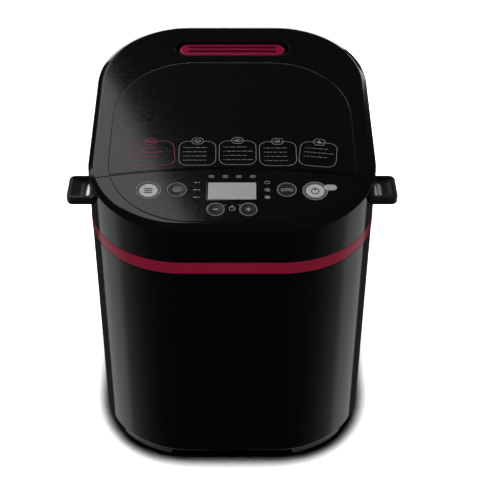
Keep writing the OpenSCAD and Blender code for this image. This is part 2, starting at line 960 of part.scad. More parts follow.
module kneading_paddle() {
    color("#5c5f63") translate([0, chamber_y, 0]) difference() {
        union() {
            rod(hub_r, hub_z, hub_z + hub_h);
            rotate([90, 0, 0]) linear_extrude(blade_w, center = true) polygon([
                [0, hub_z + 0.4],
                [-blade_r, hub_z + 0.4],
                [-blade_r, hub_z + 8],
                for (a = [0:10:90])
                    [-blade_r + 16 - corner_bend * cos(a), hub_z + blade_h - corner_bend * (1 - sin(a))],
                [-16, hub_z + blade_h],
                [0, hub_z + hub_h],
            ]);
        }
        difference() {
            rod(shaft_r + 0.08, hub_z - 1, hub_z + 16.3);
            translate([shaft_flat + 0.1, -10, hub_z - 2]) cube([10, 20, 40]);
        }
    }
}

module drive_shaft() {
    color("#c6c8ca") translate([0, chamber_y, 0]) rod(shaft_r, pulley_z - 2, chamber_z + 4);
}

module drive_coupling() {
    color("#8f9295") translate([0, chamber_y, 0]) {
        tube(coupling_r, shaft_r, chamber_z + 1.6, chamber_z + 4);
        for (s = [-1, 1]) translate([s * dog_at - dog_w / 2, -dog_t / 2, chamber_z + 3.9])
            cube([dog_w, dog_t, 6.1]);
    }
}

// A flanged belt pulley
module pulley(run_r, bore_r) {
    difference() {
        union() {
            rod(run_r, pulley_z, pulley_z + pulley_h);
            rod(run_r + flange_w, pulley_z, pulley_z + flange_h);
            rod(run_r + flange_w, pulley_z + pulley_h - flange_h, pulley_z + pulley_h);
        }
        rod(bore_r, pulley_z - 1, pulley_z + pulley_h + 1);
    }
}

module large_pulley() {
    color("#2b2c2e") translate([0, chamber_y, 0]) difference() {
        pulley(large_pulley_r, shaft_r);
        for (a = [0:60:300]) rotate([0, 0, a]) translate([26, 0, 0]) rod(9, pulley_z - 1, pulley_z + 20);
    }
}

module motor_rotor() {
    color("#8b8e92") translate([0, motor_y, 0])
        tube(rotor_r, motor_shaft_r, motor_z + core_low, motor_z + core_high);
}

module motor_shaft() {
    color("#c6c8ca") translate([0, motor_y, 0])
        rod(motor_shaft_r, pulley_z - 2, motor_z + fan_low + fan_h + 2);
}

module small_pulley() {
    color("#b4b6b8") translate([0, motor_y, 0]) pulley(small_pulley_r, motor_shaft_r);
}

module cooling_fan() {
    low = motor_z + fan_low;
    color("#e3e3e0") translate([0, motor_y, 0]) difference() {
        union() {
            rod(fan_hub_r, low, low + fan_h);
            for (a = [0:45:315]) rotate([0, 0, a])
                translate([0, -blade_t / 2, low + 1]) cube([fan_r, blade_t, fan_h - 2]);
        }
        rod(motor_shaft_r, low - past, low + fan_h + past);
    }
}

// A round button cap with its retaining flange and its plunger
module button_cap(at, r) {
    on_deck(at) {
        rod(r, -cap_depth, cap_lift);
        rod(r + cap_flange_w, -cap_depth - 1, -cap_depth - 1 + cap_flange_t);
        rod(plunger_r, -plunger_end, -cap_depth - 0.9);
    }
}

module menu_button() {
    color("#c9cbcd") button_cap(menu_at, large_button_r);
}

module loaf_button() {
    color("#2a2b2d") button_cap(loaf_at, side_button_r);
}

module minus_button() {
    color("#2a2b2d") button_cap(minus_at, timer_button_r);
}

module plus_button() {
    color("#2a2b2d") button_cap(plus_at, timer_button_r);
}

module crust_button() {
    color("#2a2b2d") button_cap(crust_at, side_button_r);
}

module start_button() {
    color("#c9cbcd") button_cap(start_at, large_button_r);
}

corner_feet();
foot_pads();
base_tray();
lower_housing();
trim_band();
upper_housing();
control_overlay();
button_bezels();
display_window();
lcd_module();
indicator_light();
control_board();
power_board();
left_grip();
right_grip();
oven_chamber();
heating_element();
temperature_sensor();
thermal_fuse();
pan_seat();
chassis_plate();
chassis_screws();
motor_frame();
motor_stator();
motor_mounts();
run_capacitor();
bearing_housing();
drive_bearings();
drive_belt();
hinge_pins();
cord_gland();
lid_cover();
lid_panel();
vent_grille();
lid_inner_frame();
lid_liner();
lid_seal();
lid_screws();
bread_pan();
pan_ears();
pan_base();
pan_bearing();
pan_seal();
pan_handle();
pan_shaft();
pan_coupling();
kneading_paddle();
drive_shaft();
drive_coupling();
large_pulley();
motor_rotor();
motor_shaft();
small_pulley();
cooling_fan();
menu_button();
loaf_button();
minus_button();
plus_button();
crust_button();
start_button();
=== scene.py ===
"""Looks of a bread machine: glossy shells, a printed control deck, a coated pan and a belt drive."""
import json
import math

import bmesh
import bpy
from mathutils import Matrix, Vector


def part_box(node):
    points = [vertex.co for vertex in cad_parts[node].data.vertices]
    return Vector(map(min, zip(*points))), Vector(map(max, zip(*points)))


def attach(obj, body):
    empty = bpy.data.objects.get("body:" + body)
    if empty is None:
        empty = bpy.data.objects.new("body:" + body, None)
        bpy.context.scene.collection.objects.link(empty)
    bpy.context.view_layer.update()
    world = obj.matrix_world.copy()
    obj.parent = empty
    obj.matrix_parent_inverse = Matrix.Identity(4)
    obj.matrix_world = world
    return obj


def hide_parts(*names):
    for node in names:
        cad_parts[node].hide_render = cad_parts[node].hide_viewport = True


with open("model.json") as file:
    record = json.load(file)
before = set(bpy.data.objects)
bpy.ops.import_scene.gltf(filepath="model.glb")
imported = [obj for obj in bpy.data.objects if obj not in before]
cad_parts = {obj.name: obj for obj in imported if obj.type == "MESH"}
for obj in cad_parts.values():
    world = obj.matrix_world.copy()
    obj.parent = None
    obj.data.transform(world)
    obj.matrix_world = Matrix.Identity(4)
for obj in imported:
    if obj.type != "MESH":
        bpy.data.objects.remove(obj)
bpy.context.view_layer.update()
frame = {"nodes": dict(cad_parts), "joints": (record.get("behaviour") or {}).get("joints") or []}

MM = 0.001

# ---------------------------------------------------------------- sizes from the frame

body_low, body_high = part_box("lower_housing")
band_low, band_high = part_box("trim_band")
overlay_low, overlay_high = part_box("control_overlay")
pan_low, pan_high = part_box("bread_pan")
grille_low, grille_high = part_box("vent_grille")

BODY_W = body_high.x - body_low.x
BODY_D = body_high.y - body_low.y
BODY_MID = Vector((0, (body_low.y + body_high.y) / 2, 0))
CORNER_R = 85 * MM
WALL = 2.6 * MM
REVEAL = 0.3 * MM

press_axis = next(Vector(j["axis"]) for j in frame["joints"] if j["name"] == "menu_press")
TILT = math.atan2(press_axis.y, -press_axis.z)
SLOPE = math.tan(TILT)
CHAMFER_RISE = 2.5 * MM
CHAMFER_IN = 6 * MM

lid_hinge = next(j for j in frame["joints"] if j["name"] == "lid_hinge")
HINGE = Vector(lid_hinge["pos_m"])

LID_SKIRT = 14 * MM
RIM_TOP = -LID_SKIRT - 0.6 * MM
RIM_BOTTOM = RIM_TOP - 2.4 * MM
SPLIT_R = 636 * MM
SPLIT_Y = overlay_high.y + 1.8 * MM
SPLIT_GAP = 0.8 * MM

PANEL_W = 218.8 * MM
PANEL_R = 74 * MM
PANEL_FRONT = overlay_low.y - 0.2 * MM
PANEL_D = 210.4 * MM
PANEL_MID = Vector((0, PANEL_FRONT + PANEL_D / 2, 0))

MOUTH_W = 204 * MM
MOUTH_D = 156 * MM
MOUTH_R = 24 * MM
PAN_W = 164 * MM
PAN_D = 122 * MM
PAN_H = 134 * MM
PAN_R = 20 * MM
MOUTH_MID = Vector((0, (pan_low.y + pan_high.y) / 2, 0))

HINGE_X = 40 * MM
KNUCKLE_R = 4 * MM
KNUCKLE_W = 11.4 * MM
LUG_R = 3.7 * MM
LUG_W = 5.8 * MM
LUG_OFF = 8.9 * MM
PIN_R = 1.5 * MM

WINDOW_W = 45 * MM
WINDOW_D = 24.6 * MM
LAMP_W = 12 * MM
LAMP_D = 7.4 * MM
VENT_W = 112 * MM
VENT_D = 22 * MM
DECK_SEAT = 0.6 * MM
LID_SEAT = 0.8 * MM
DECK_UNDER = -0.8 * MM
LID_UNDER = -0.6 * MM
DECK_SPLIT_WALL = 2.4 * MM
LID_SPLIT_WALL = 3.8 * MM
SEAT_EDGE = 1.2 * MM
PANEL_EDGE = 1.4 * MM
WINDOW_FIT = 0.2 * MM

CORNER_STEPS = 24
SHARP = math.radians(32)
QUARTER = math.radians(90)
WELD = 1e-6
FAR = 0.4
ORIGIN = Vector((0, 0, 0))


def plane(up=0.0):
    """The plane that the chamfer rises from, raised by up, as a height for each depth."""
    base = overlay_high.z - CHAMFER_RISE + up
    return lambda y: base + SLOPE * (y - overlay_high.y)


def level(z):
    """A level height."""
    return lambda y: z


def on_deck(x, y, up=0.0):
    """Places a shape drawn about the origin on the finished top, square to it."""
    z = plane(CHAMFER_RISE)(y)
    return Matrix.Translation((x, y, z)) @ Matrix.Rotation(TILT, 4, "X") @ Matrix.Translation((0, 0, up))


# ---------------------------------------------------------------- materials

def nodes_of(name):
    """A new material with its node tree and its shader."""
    m = bpy.data.materials.new(name)
    m.use_nodes = True
    tree = m.node_tree
    return m, tree, tree.nodes["Principled BSDF"]


def noise(tree, scale, detail=3.0, stretch=(1, 1, 1)):
    """Noise on the piece's own coordinates."""
    place = tree.nodes.new("ShaderNodeTexCoord")
    mapping = tree.nodes.new("ShaderNodeMapping")
    mapping.inputs["Scale"].default_value = stretch
    tree.links.new(place.outputs["Object"], mapping.inputs["Vector"])
    texture = tree.nodes.new("ShaderNodeTexNoise")
    texture.inputs["Scale"].default_value = scale
    texture.inputs["Detail"].default_value = detail
    tree.links.new(mapping.outputs["Vector"], texture.inputs["Vector"])
    return texture.outputs["Fac"]


def spread(tree, value, low, high):
    """Maps a 0 to 1 value to a range."""
    ramp = tree.nodes.new("ShaderNodeMapRange")
    ramp.inputs["From Min"].default_value = 0.3
    ramp.inputs["From Max"].default_value = 0.7
    ramp.inputs["To Min"].default_value = low
    ramp.inputs["To Max"].default_value = high
    tree.links.new(value, ramp.inputs["Value"])
    return ramp.outputs["Result"]


def bump(tree, shader, value, depth):
    """Raises the surface by value times depth, in metres."""
    node = tree.nodes.new("ShaderNodeBump")
    node.inputs["Strength"].default_value = 1.0
    node.inputs["Distance"].default_value = depth
    tree.links.new(value, node.inputs["Height"])
    tree.links.new(node.outputs["Normal"], shader.inputs["Normal"])


def tint(tree, shader, value, dark, light):
    """Varies the base colour between two colours."""
    mix = tree.nodes.new("ShaderNodeMix")
    mix.data_type = "RGBA"
    mix.inputs["A"].default_value = (*dark, 1)
    mix.inputs["B"].default_value = (*light, 1)
    tree.links.new(value, mix.inputs["Factor"])
    tree.links.new(mix.outputs["Result"], shader.inputs["Base Color"])


def moulded(name, colour, rough, grain, depth, vary=0.12, rough_vary=0.15):
    """Moulded plastic or rubber: a fine skin texture with slight changes of shade and gloss."""
    m, tree, shader = nodes_of(name)
    fine = noise(tree, grain)
    broad = noise(tree, 18, 2)
    tint(tree, shader, broad, [c * (1 - vary) for c in colour], [min(1, c * (1 + vary)) for c in colour])
    rough_low = rough * (1 - rough_vary)
    rough_high = rough * (1 + rough_vary)
    tree.links.new(spread(tree, fine, rough_low, rough_high), shader.inputs["Roughness"])
    bump(tree, shader, fine, depth)
    return m


def metal(name, colour, rough, grain, stretch, depth, vary=0.06):
    """Bare metal with brushed, ground or cast grain."""
    m, tree, shader = nodes_of(name)
    shader.inputs["Metallic"].default_value = 0.65
    fine = noise(tree, grain, 4, stretch)
    broad = noise(tree, 9, 2)
    tint(tree, shader, broad, [c * (1 - vary) for c in colour], [min(1, c * (1 + vary)) for c in colour])
    tree.links.new(spread(tree, fine, rough * 0.75, rough * 1.3), shader.inputs["Roughness"])
    bump(tree, shader, fine, depth)
    return m


def painted_silver(name, shade):
    """Silver-painted plastic."""
    m = moulded(name, (shade, shade, shade * 1.01), 0.3, 900, 0.000006)
    m.node_tree.nodes["Principled BSDF"].inputs["Metallic"].default_value = 0.3
    return m


def gloss_black():
    return moulded("gloss_black", (0.0006, 0.0006, 0.00065), 0.085, 260, 0.000004, 0.1, 0.25)


def deck_black():
    return moulded("deck_black", (0.0007, 0.0007, 0.00075), 0.1, 320, 0.000004, 0.1, 0.25)


def satin_black():
    return moulded("satin_black", (0.018, 0.018, 0.019), 0.42, 1500, 0.00002)


def crimson():
    m = moulded("crimson", (0.10, 0.0003, 0.011), 0.2, 700, 0.000006, 0.1, 0.2)
    m.node_tree.nodes["Principled BSDF"].inputs["Specular IOR Level"].default_value = 0.2
    return m


def crimson_deep():
    return moulded("crimson_deep", (0.062, 0.0012, 0.0095), 0.16, 700, 0.000006, 0.1, 0.2)


# A darker copy of the crimson: painted shade for the floors of the vent's slots.
def crimson_painted_shade():
    return moulded("crimson_painted_shade", (0.02, 0.0005, 0.003), 0.4, 700, 0.000006)


def feet_grey():
    return moulded("feet_grey", (0.035, 0.035, 0.038), 0.32, 900, 0.00001)


def soft_rubber():
    return moulded("soft_rubber", (0.02, 0.02, 0.02), 0.75, 1800, 0.00004)


def print_grey():
    return moulded("print_grey", (0.085, 0.086, 0.086), 0.5, 2500, 0.000002)


def print_dim():
    return moulded("print_dim", (0.045, 0.046, 0.046), 0.5, 2500, 0.000002)


def print_faint():
    return moulded("print_faint", (0.028, 0.029, 0.029), 0.5, 2500, 0.000002)


def print_crimson():
    return moulded("print_crimson", (0.065, 0.002, 0.012), 0.5, 2500, 0.000002)


def key_silver():
    return painted_silver("key_silver", 0.15)


def lamp_milk():
    return moulded("lamp_milk", (0.085, 0.087, 0.087), 0.3, 600, 0.000004)


def lcd_grey():
    return moulded("lcd_grey", (0.088, 0.09, 0.089), 0.35, 400, 0.000002)


def ring_silver():
    return painted_silver("ring_silver", 0.075)


def key_black():
    return moulded("key_black", (0.004, 0.004, 0.0042), 0.2, 900, 0.000006)


def grip_black():
    return moulded("grip_black", (0.003, 0.003, 0.0032), 0.2, 700, 0.000006)


def chamber_steel():
    return metal("chamber_steel", (0.60, 0.60, 0.60), 0.38, 300, (1, 1, 0.15), 0.0000008)


def liner_aluminium():
    return metal("liner_aluminium", (0.72, 0.725, 0.73), 0.38, 400, (0.15, 1, 1), 0.000001)


def zinc_plate():
    return metal("zinc_plate", (0.62, 0.63, 0.65), 0.34, 120, (1, 1, 1), 0.00001, 0.12)


def cast_aluminium():
    return metal("cast_aluminium", (0.58, 0.585, 0.6), 0.45, 1400, (1, 1, 1), 0.00005)


def ground_steel():
    return metal("ground_steel", (0.7, 0.7, 0.71), 0.18, 1200, (1, 1, 0.1), 0.000004)


def bright_wire():
    return metal("bright_wire", (0.78, 0.785, 0.79), 0.12, 500, (1, 1, 1), 0.000003)


def heater_steel():
    return metal("heater_steel", (0.20, 0.17, 0.155), 0.48, 900, (1, 1, 1), 0.00003, 0.3)


def sintered_bronze():
    return metal("sintered_bronze", (0.50, 0.31, 0.13), 0.42, 2200, (1, 1, 1), 0.00004)


def copper_winding():
    return metal("copper_winding", (0.52, 0.21, 0.08), 0.3, 1600, (1, 1, 12), 0.0001)


def laminated_steel():
    return metal("laminated_steel", (0.36, 0.37, 0.39), 0.4, 500, (0.05, 0.05, 6), 0.0001)


def pan_coating():
    return moulded("pan_coating", (0.055, 0.057, 0.061), 0.34, 1700, 0.00002, 0.2, 0.3)


def paddle_coating():
    return moulded("paddle_coating", (0.035, 0.036, 0.039), 0.3, 1700, 0.00002, 0.2, 0.3)


def board_green():
    return moulded("board_green", (0.012, 0.10, 0.035), 0.3, 500, 0.00001, 0.25)


def ceramic_white():
    return moulded("ceramic_white", (0.72, 0.70, 0.64), 0.55, 900, 0.00002)


def white_nylon():
    return moulded("white_nylon", (0.70, 0.70, 0.67), 0.4, 700, 0.00001)


def red_silicone():
    return moulded("red_silicone", (0.26, 0.05, 0.03), 0.55, 900, 0.00001)


def grey_silicone():
    return moulded("grey_silicone", (0.06, 0.06, 0.063), 0.6, 900, 0.00001)


# ---------------------------------------------------------------- making pieces

made = {}


def material(maker):
    """One material for each maker, however many pieces use it."""
    if maker not in made:
        made[maker] = maker()
    return made[maker]


def new_object(name, mesh):
    """An object at the origin that holds the mesh."""
    obj = bpy.data.objects.new(name, mesh)
    bpy.context.scene.collection.objects.link(obj)
    return obj


def mark_edges(bm):
    """Smooths every face and marks the hard edges between them."""
    for f in bm.faces:
        f.smooth = True
    for e in bm.edges:
        hard = len(e.link_faces) == 2 and e.calc_face_angle(0) > SHARP
        e.smooth = not hard


def finish_mesh(bm, name):
    """Turns a bmesh into an object with smooth faces and creases at its hard edges."""
    bmesh.ops.recalc_face_normals(bm, faces=bm.faces[:])
    mark_edges(bm)
    mesh = bpy.data.meshes.new(name)
    bm.to_mesh(mesh)
    bm.free()
    return new_object(name, mesh)


def ring(w, d, r, mid, height, steps=CORNER_STEPS):
    """The points of a loop round a rectangle with round corners."""
    points = []
    for quarter in range(4):
        cx = (w / 2 - r) * (1 if quarter in (0, 3) else -1)
        cy = (d / 2 - r) * (1 if quarter in (0, 1) else -1)
        for k in range(steps + 1):
            a = math.radians(90 * quarter + 90 * k / steps)
            x = mid.x + cx + r * math.cos(a)
            y = mid.y + cy + r * math.sin(a)
            points.append(Vector((x, y, height(y))))
    return points


def body_ring(inset, height):
    """The points of a loop round the body, drawn in by inset."""
    return ring(BODY_W - 2 * inset, BODY_D - 2 * inset, CORNER_R - inset, BODY_MID, height)


def loft(bm, loops, closed=False):
    """Skins a row of loops by extruding each from the last, and closes it on itself or with caps."""
    index = bm.verts.layers.int.get("index") or bm.verts.layers.int.new("index")
    circle = bmesh.ops.create_circle(bm, segments=len(loops[0]), radius=1)["verts"]
    first = sorted(circle, key=lambda v: math.atan2(v.co.y, v.co.x))
    for i, v in enumerate(first):
        v.co = loops[0][i]
        v[index] = i
    edges = list({e for v in first for e in v.link_edges})
    first_edges = edges
    added = list(first)
    for loop in loops[1:] + ([loops[0]] if closed else []):
        out = bmesh.ops.extrude_edge_only(bm, edges=edges)["geom"]
        verts = {g for g in out if isinstance(g, bmesh.types.BMVert)}
        for v in verts:
            v.co = loop[v[index]]
        edges = [g for g in out if isinstance(g, bmesh.types.BMEdge) and set(g.verts) <= verts]
        added += verts
    if closed:
        bmesh.ops.remove_doubles(bm, verts=added, dist=WELD)
        return
    for loop_edges in (first_edges, edges):
        bmesh.ops.contextual_create(bm, geom=loop_edges)


def block(sections, w=None, d=None, r=None, mid=None):
    """A solid of (inset, height) sections, with the body's plan or a given round-cornered one."""
    bm = bmesh.new()
    if w is None:
        loops = [body_ring(inset, height) for inset, height in sections]
    else:
        loops = [ring(w - 2 * i, d - 2 * i, r - i, mid, height) for i, height in sections]
    loft(bm, loops)
    return finish_mesh(bm, "block")


def arc_block(offset, rear=True):
    """All that lies behind the split arc, or in front of it; offset moves the arc to the back."""
    bm = bmesh.new()
    centre = Vector((0, SPLIT_Y - SPLIT_R, 0))
    half = math.asin(FAR / 2 / SPLIT_R)
    start = centre + Matrix.Rotation(half, 3, "Z") @ Vector((0, SPLIT_R + offset, 0))
    first = bm.verts.new(start)
    bmesh.ops.spin(bm, geom=[first], cent=centre, axis=(0, 0, -1), angle=2 * half, steps=96)
    arc = bm.edges[:]
    side = bmesh.ops.extrude_edge_only(bm, edges=arc)["geom"]
    moved = [g for g in side if isinstance(g, bmesh.types.BMVert)]
    for v in moved:
        v.co.y = FAR if rear else -FAR
    faces = bm.faces[:]
    for v in bm.verts:
        v.co.z = plane(-FAR)(v.co.y)
    top = bmesh.ops.extrude_face_region(bm, geom=faces)["geom"]
    for g in top:
        if isinstance(g, bmesh.types.BMVert):
            g.co.z = plane(FAR)(g.co.y)
    return finish_mesh(bm, "arc_block")


def carve(piece, cutter, how="DIFFERENCE"):
    """Cuts, joins or trims piece with cutter, keeps the result as piece's mesh and drops cutter."""
    mod = piece.modifiers.new("carve", "BOOLEAN")
    mod.operation = how
    mod.object = cutter
    mod.solver = "EXACT"
    bpy.context.view_layer.update()
    graph = bpy.context.evaluated_depsgraph_get()
    mesh = bpy.data.meshes.new_from_object(piece.evaluated_get(graph))
    piece.modifiers.clear()
    old = piece.data
    piece.data = mesh
    bpy.data.meshes.remove(old)
    bpy.data.objects.remove(cutter)


def tidy(piece):
    """Clears what carving leaves behind, and marks smooth faces and hard edges again."""
    bm = bmesh.new()
    bm.from_mesh(piece.data)
    bmesh.ops.remove_doubles(bm, verts=bm.verts[:], dist=WELD)
    bmesh.ops.dissolve_degenerate(bm, dist=WELD, edges=bm.edges[:])
    mark_edges(bm)
    bm.to_mesh(piece.data)
    bm.free()
    return piece


def soften(piece, width):
    """Rounds every hard edge by width, if any, and keeps the flat faces flat."""
    if width:
        mod = piece.modifiers.new("soft_edges", "BEVEL")
        mod.width = width
        mod.segments = 2
        mod.limit_method = "ANGLE"
        mod.angle_limit = SHARP
        mod.use_clamp_overlap = True
    mod = piece.modifiers.new("flat_faces", "WEIGHTED_NORMAL")
    mod.keep_sharp = True
    return piece


def place(piece, name, body, slot_name, maker, *replaced):
    """Names a finished piece, gives it its finish, and lets it ride on its body."""
    piece.name = name
    piece.data.name = name
    piece.data.materials.clear()
    piece.data.materials.append(material(maker))
    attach(piece, body)
    if replaced:
        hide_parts(*replaced)
    return piece


def cylinder_along(bm, r, length, matrix, segments=64):
    """A capped cylinder about matrix's Z axis, centred on its origin."""
    bmesh.ops.create_cone(
        bm, cap_ends=True, segments=segments, radius1=r, radius2=r, depth=length, matrix=matrix,
    )


def stadium_ring(w, d, inset, place_at, up, steps=12):
    """The points of a loop round a slot with half-round ends, on place_at."""
    points = ring(w - 2 * inset, d - 2 * inset, d / 2 - inset - WELD, ORIGIN, level(up), steps)
    return [place_at @ p for p in points]


def turned(profile, matrix, name, segments=64):
    """A shape turned about its own Z axis from (radius, height) points, then placed."""
    bm = bmesh.new()
    verts = [bm.verts.new((r, 0, z)) for r, z in profile]
    for a, b in zip(verts, verts[1:]):
        bm.edges.new((a, b))
    bmesh.ops.spin(
        bm, geom=bm.verts[:] + bm.edges[:], cent=(0, 0, 0), axis=(0, 0, 1),
        angle=2 * math.pi, steps=segments, use_merge=True,
    )
    bmesh.ops.remove_doubles(bm, verts=bm.verts[:], dist=1e-7)
    bmesh.ops.transform(bm, matrix=matrix, verts=bm.verts[:])
    return finish_mesh(bm, name)


# ---------------------------------------------------------------- shells

def bend_between(a, corner, b, steps=5):
    """Points on a smooth curve that leaves a towards the corner and arrives at b."""
    points = []
    for i in range(steps + 1):
        t = i / steps
        near = (1 - t) ** 2
        mid = 2 * t * (1 - t)
        points.append(tuple(near * p + mid * q + t * t * r for p, q, r in zip(a, corner, b)))
    return points


def top_sections(low):
    """The outer wall from a lower height up over the rounded chamfer to the sloping top."""
    rise = 1.1 * MM
    run = rise * CHAMFER_IN / CHAMFER_RISE
    foot = bend_between((REVEAL, -rise), (REVEAL, 0), (REVEAL + run / 3, rise / 3))
    head_low = (CHAMFER_IN - run / 2, CHAMFER_RISE - rise / 2)
    head = bend_between(head_low, (CHAMFER_IN, CHAMFER_RISE), (CHAMFER_IN + run / 2, CHAMFER_RISE))
    return [(REVEAL, low)] + [(inset, plane(up)) for inset, up in foot + head]


def cylinder_cutter(r, length, matrix, segments=64):
    """A cylinder to carve with."""
    bm = bmesh.new()
    cylinder_along(bm, r, length, matrix, segments)
    return finish_mesh(bm, "cutter")


def box_cutter(low, high):
    """An upright box to carve or join with, between two corners."""
    bm = bmesh.new()
    middle = (Vector(low) + Vector(high)) / 2
    size = Vector(high) - Vector(low)
    bmesh.ops.create_cube(bm, size=1, matrix=Matrix.Translation(middle) @ Matrix.Diagonal((*size, 1)))
    return finish_mesh(bm, "cutter")


def slot_on(w, d, low, high, place_at):
    """A slot-shaped solid with half-round ends between two heights on place_at."""
    bm = bmesh.new()
    loft(bm, [stadium_ring(w, d, 0, place_at, up) for up in (low, high)])
    return finish_mesh(bm, "slot")


def slot_rounded(w, d, low, high, place_at, edge):
    """A slot-shaped solid with a rounded upper edge."""
    bm = bmesh.new()
    loops = [(0, low)] + bend_between((0, high - edge), (0, high), (edge, high), 4)
    loft(bm, [stadium_ring(w, d, inset, place_at, up) for inset, up in loops])
    return finish_mesh(bm, "slot")


def plate_on(w, d, r, low, high, place_at, edge=0.0):
    """A round-cornered plate on place_at with a rounded upper edge."""
    bm = bmesh.new()
    loops = [(0, low)]
    loops += bend_between((0, high - edge), (0, high), (edge, high), 4) if edge else [(0, high)]
    rings = []
    for inset, up in loops:
        rings.append(ring(w - 2 * inset, d - 2 * inset, r - inset, ORIGIN, level(up), 6))
    loft(bm, rings)
    bmesh.ops.transform(bm, matrix=place_at, verts=bm.verts[:])
    return finish_mesh(bm, "plate")


LARGE_KEYS = ("menu", "start")
LARGE_RING_R = 11 * MM
CAP_FLANGE = 1.4 * MM
CAP_TOP = 0.6 * MM
GAP = 0.3 * MM


def deck_keys():
    """Each button's name, place on the top, radius and ring radius, from the CAD."""
    found = []
    for key in ("menu", "loaf", "minus", "plus", "crust", "start"):
        low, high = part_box(key + "_button")
        radius = (high.x - low.x) / 2 - CAP_FLANGE
        middle_y = high.y - radius * math.cos(TILT) + CAP_TOP * math.sin(TILT)
        ring_r = LARGE_RING_R if key in LARGE_KEYS else radius + 0.9 * MM
        found.append((key, (low.x + high.x) / 2, middle_y, radius, ring_r))
    return found


KEYS = deck_keys()
window_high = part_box("display_window")[1]
lamp_low, lamp_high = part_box("indicator_light")


def middle_from_back(back, depth, up):
    """The Y of a deck fitting's middle, from its rearmost point, its depth and its height."""
    return back - depth / 2 * math.cos(TILT) + up * math.sin(TILT)


LAMP = ((lamp_low.x + lamp_high.x) / 2, middle_from_back(lamp_high.y, 7.1 * MM, 0.4 * MM))
WINDOW = (0, middle_from_back(window_high.y, 24.4 * MM, 0.1 * MM))
VENT = (0, (grille_low.y + grille_high.y) / 2)


def cut_deck(piece):
    """Cuts the deck's holes for the buttons, the window and the lamp."""
    reach = 6 * MM
    for _, x, y, _, ring_r in KEYS:
        carve(piece, cylinder_cutter(ring_r + GAP, 2 * reach, on_deck(x, y), 96))
    carve(piece, plate_on(WINDOW_W, WINDOW_D, 1.2 * MM, -reach, reach, on_deck(*WINDOW)))
    carve(piece, slot_on(LAMP_W, LAMP_D, -reach, reach, on_deck(*LAMP)))


def hollow(inset, low, high):
    """The inside of the body, drawn in by inset, between two heights."""
    return block([(inset, low), (inset, high)])


def lower_shell():
    """The glossy lower body, with a rounded lower edge, rear vents and the cord's hole."""
    base = body_low.z
    top = body_high.z - 0.25 * MM
    round_in = 6 * MM
    loops = [(WALL + round_in, base + 0.8 * MM)]
    loops += bend_between((round_in, base), (REVEAL, base), (REVEAL, base + round_in), 8)
    loops += [(REVEAL, top - 0.4 * MM), (REVEAL + 0.4 * MM, top), (WALL, top), (WALL, base + round_in)]
    bm = bmesh.new()
    loft(bm, [body_ring(inset, level(z)) for inset, z in loops], closed=True)
    shell = finish_mesh(bm, "shell")
    gland_low, gland_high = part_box("cord_gland")
    gland = (gland_low + gland_high) / 2
    turn = Matrix.Rotation(QUARTER, 4, "X")
    at = Matrix.Translation((gland.x, body_high.y, gland.z)) @ turn
    carve(shell, cylinder_cutter(7 * MM, 40 * MM, at))
    upright = turn @ Matrix.Rotation(QUARTER, 4, "Z")
    pitch = 9 * MM
    for i in range(-3, 4):
        at = Matrix.Translation((i * pitch, body_high.y, 150 * MM)) @ upright
        carve(shell, slot_on(46 * MM, 3.6 * MM, -20 * MM, 20 * MM, at))
    place(soften(tidy(shell), 0), "lower_shell", "housing", "lower_housing", gloss_black, "lower_housing")


def colour_band():
    """The coloured band between the two housings."""
    low = band_low.z
    high = band_high.z
    edge = 0.7 * MM
    loops = [(WALL, low)] + bend_between((edge, low), (0, low), (0, low + edge), 4)
    loops += bend_between((0, high - edge), (0, high), (edge, high), 4) + [(WALL, high)]
    bm = bmesh.new()
    loft(bm, [body_ring(inset, level(z)) for inset, z in loops], closed=True)
    band = finish_mesh(bm, "band")
    place(soften(band, 0), "colour_band", "housing", "trim_band", crimson, "trim_band")


def panel_seat(depth):
    """A cutter for the shallow seat that both panels lie in."""
    sections = [(0, plane(CHAMFER_RISE - depth)), (0, plane(0.1))]
    return block(sections, PANEL_W, PANEL_D, PANEL_R, PANEL_MID)


def deck_shell():
    """The control deck and the rim that the lid closes on, in one moulding."""
    base = band_high.z + 0.15 * MM
    shell = block(top_sections(level(base)))
    carve(shell, arc_block(-SPLIT_GAP / 2, rear=False), "INTERSECT")
    edge = 0.6 * MM
    rim = block([(REVEAL, level(base)), (REVEAL, plane(RIM_TOP - edge)), (REVEAL + edge, plane(RIM_TOP))])
    carve(shell, rim, "UNION")
    under_deck = hollow(WALL, level(base - MM), plane(DECK_UNDER))
    carve(under_deck, arc_block(-SPLIT_GAP / 2 - DECK_SPLIT_WALL, rear=False), "INTERSECT")
    carve(shell, under_deck)
    carve(shell, hollow(WALL, level(base - MM), plane(RIM_BOTTOM)))
    mouth = block([(0, level(base - MM)), (0, plane(FAR))], MOUTH_W, MOUTH_D, MOUTH_R, MOUTH_MID)
    carve(shell, mouth)
    pocket_w = KNUCKLE_W + 2 * GAP
    for side in (-1, 1):
        low = Vector((side * HINGE_X - pocket_w / 2, HINGE.y - 5 * MM, HINGE.z - 4.4 * MM))
        carve(shell, box_cutter(low, low + Vector((pocket_w, 20 * MM, 30 * MM))))
    seat = panel_seat(DECK_SEAT)
    carve(seat, arc_block(-SPLIT_GAP / 2 - SEAT_EDGE, rear=False), "INTERSECT")
    carve(shell, seat)
    cut_deck(shell)
    shell = soften(tidy(shell), 0.25 * MM)
    place(shell, "deck_shell", "housing", "upper_housing", gloss_black, "upper_housing")


def hinge_tubes(name, body, slot_name, radius, width, places):
    """Round barrels on the lid's axis, bored for its pins."""
    bm = bmesh.new()
    edge = 0.5 * MM
    half = width / 2
    profile = [(PIN_R, -half), (radius - edge, -half), (radius, edge - half), (radius, half - edge)]
    profile += [(radius - edge, half), (PIN_R, half)]
    for x in places:
        at = Matrix.Translation((x, HINGE.y, HINGE.z)) @ Matrix.Rotation(QUARTER, 4, "Y")
        revolve(bm, profile, at, 48)
    place(finish_mesh(bm, "tubes"), name, body, slot_name, gloss_black)


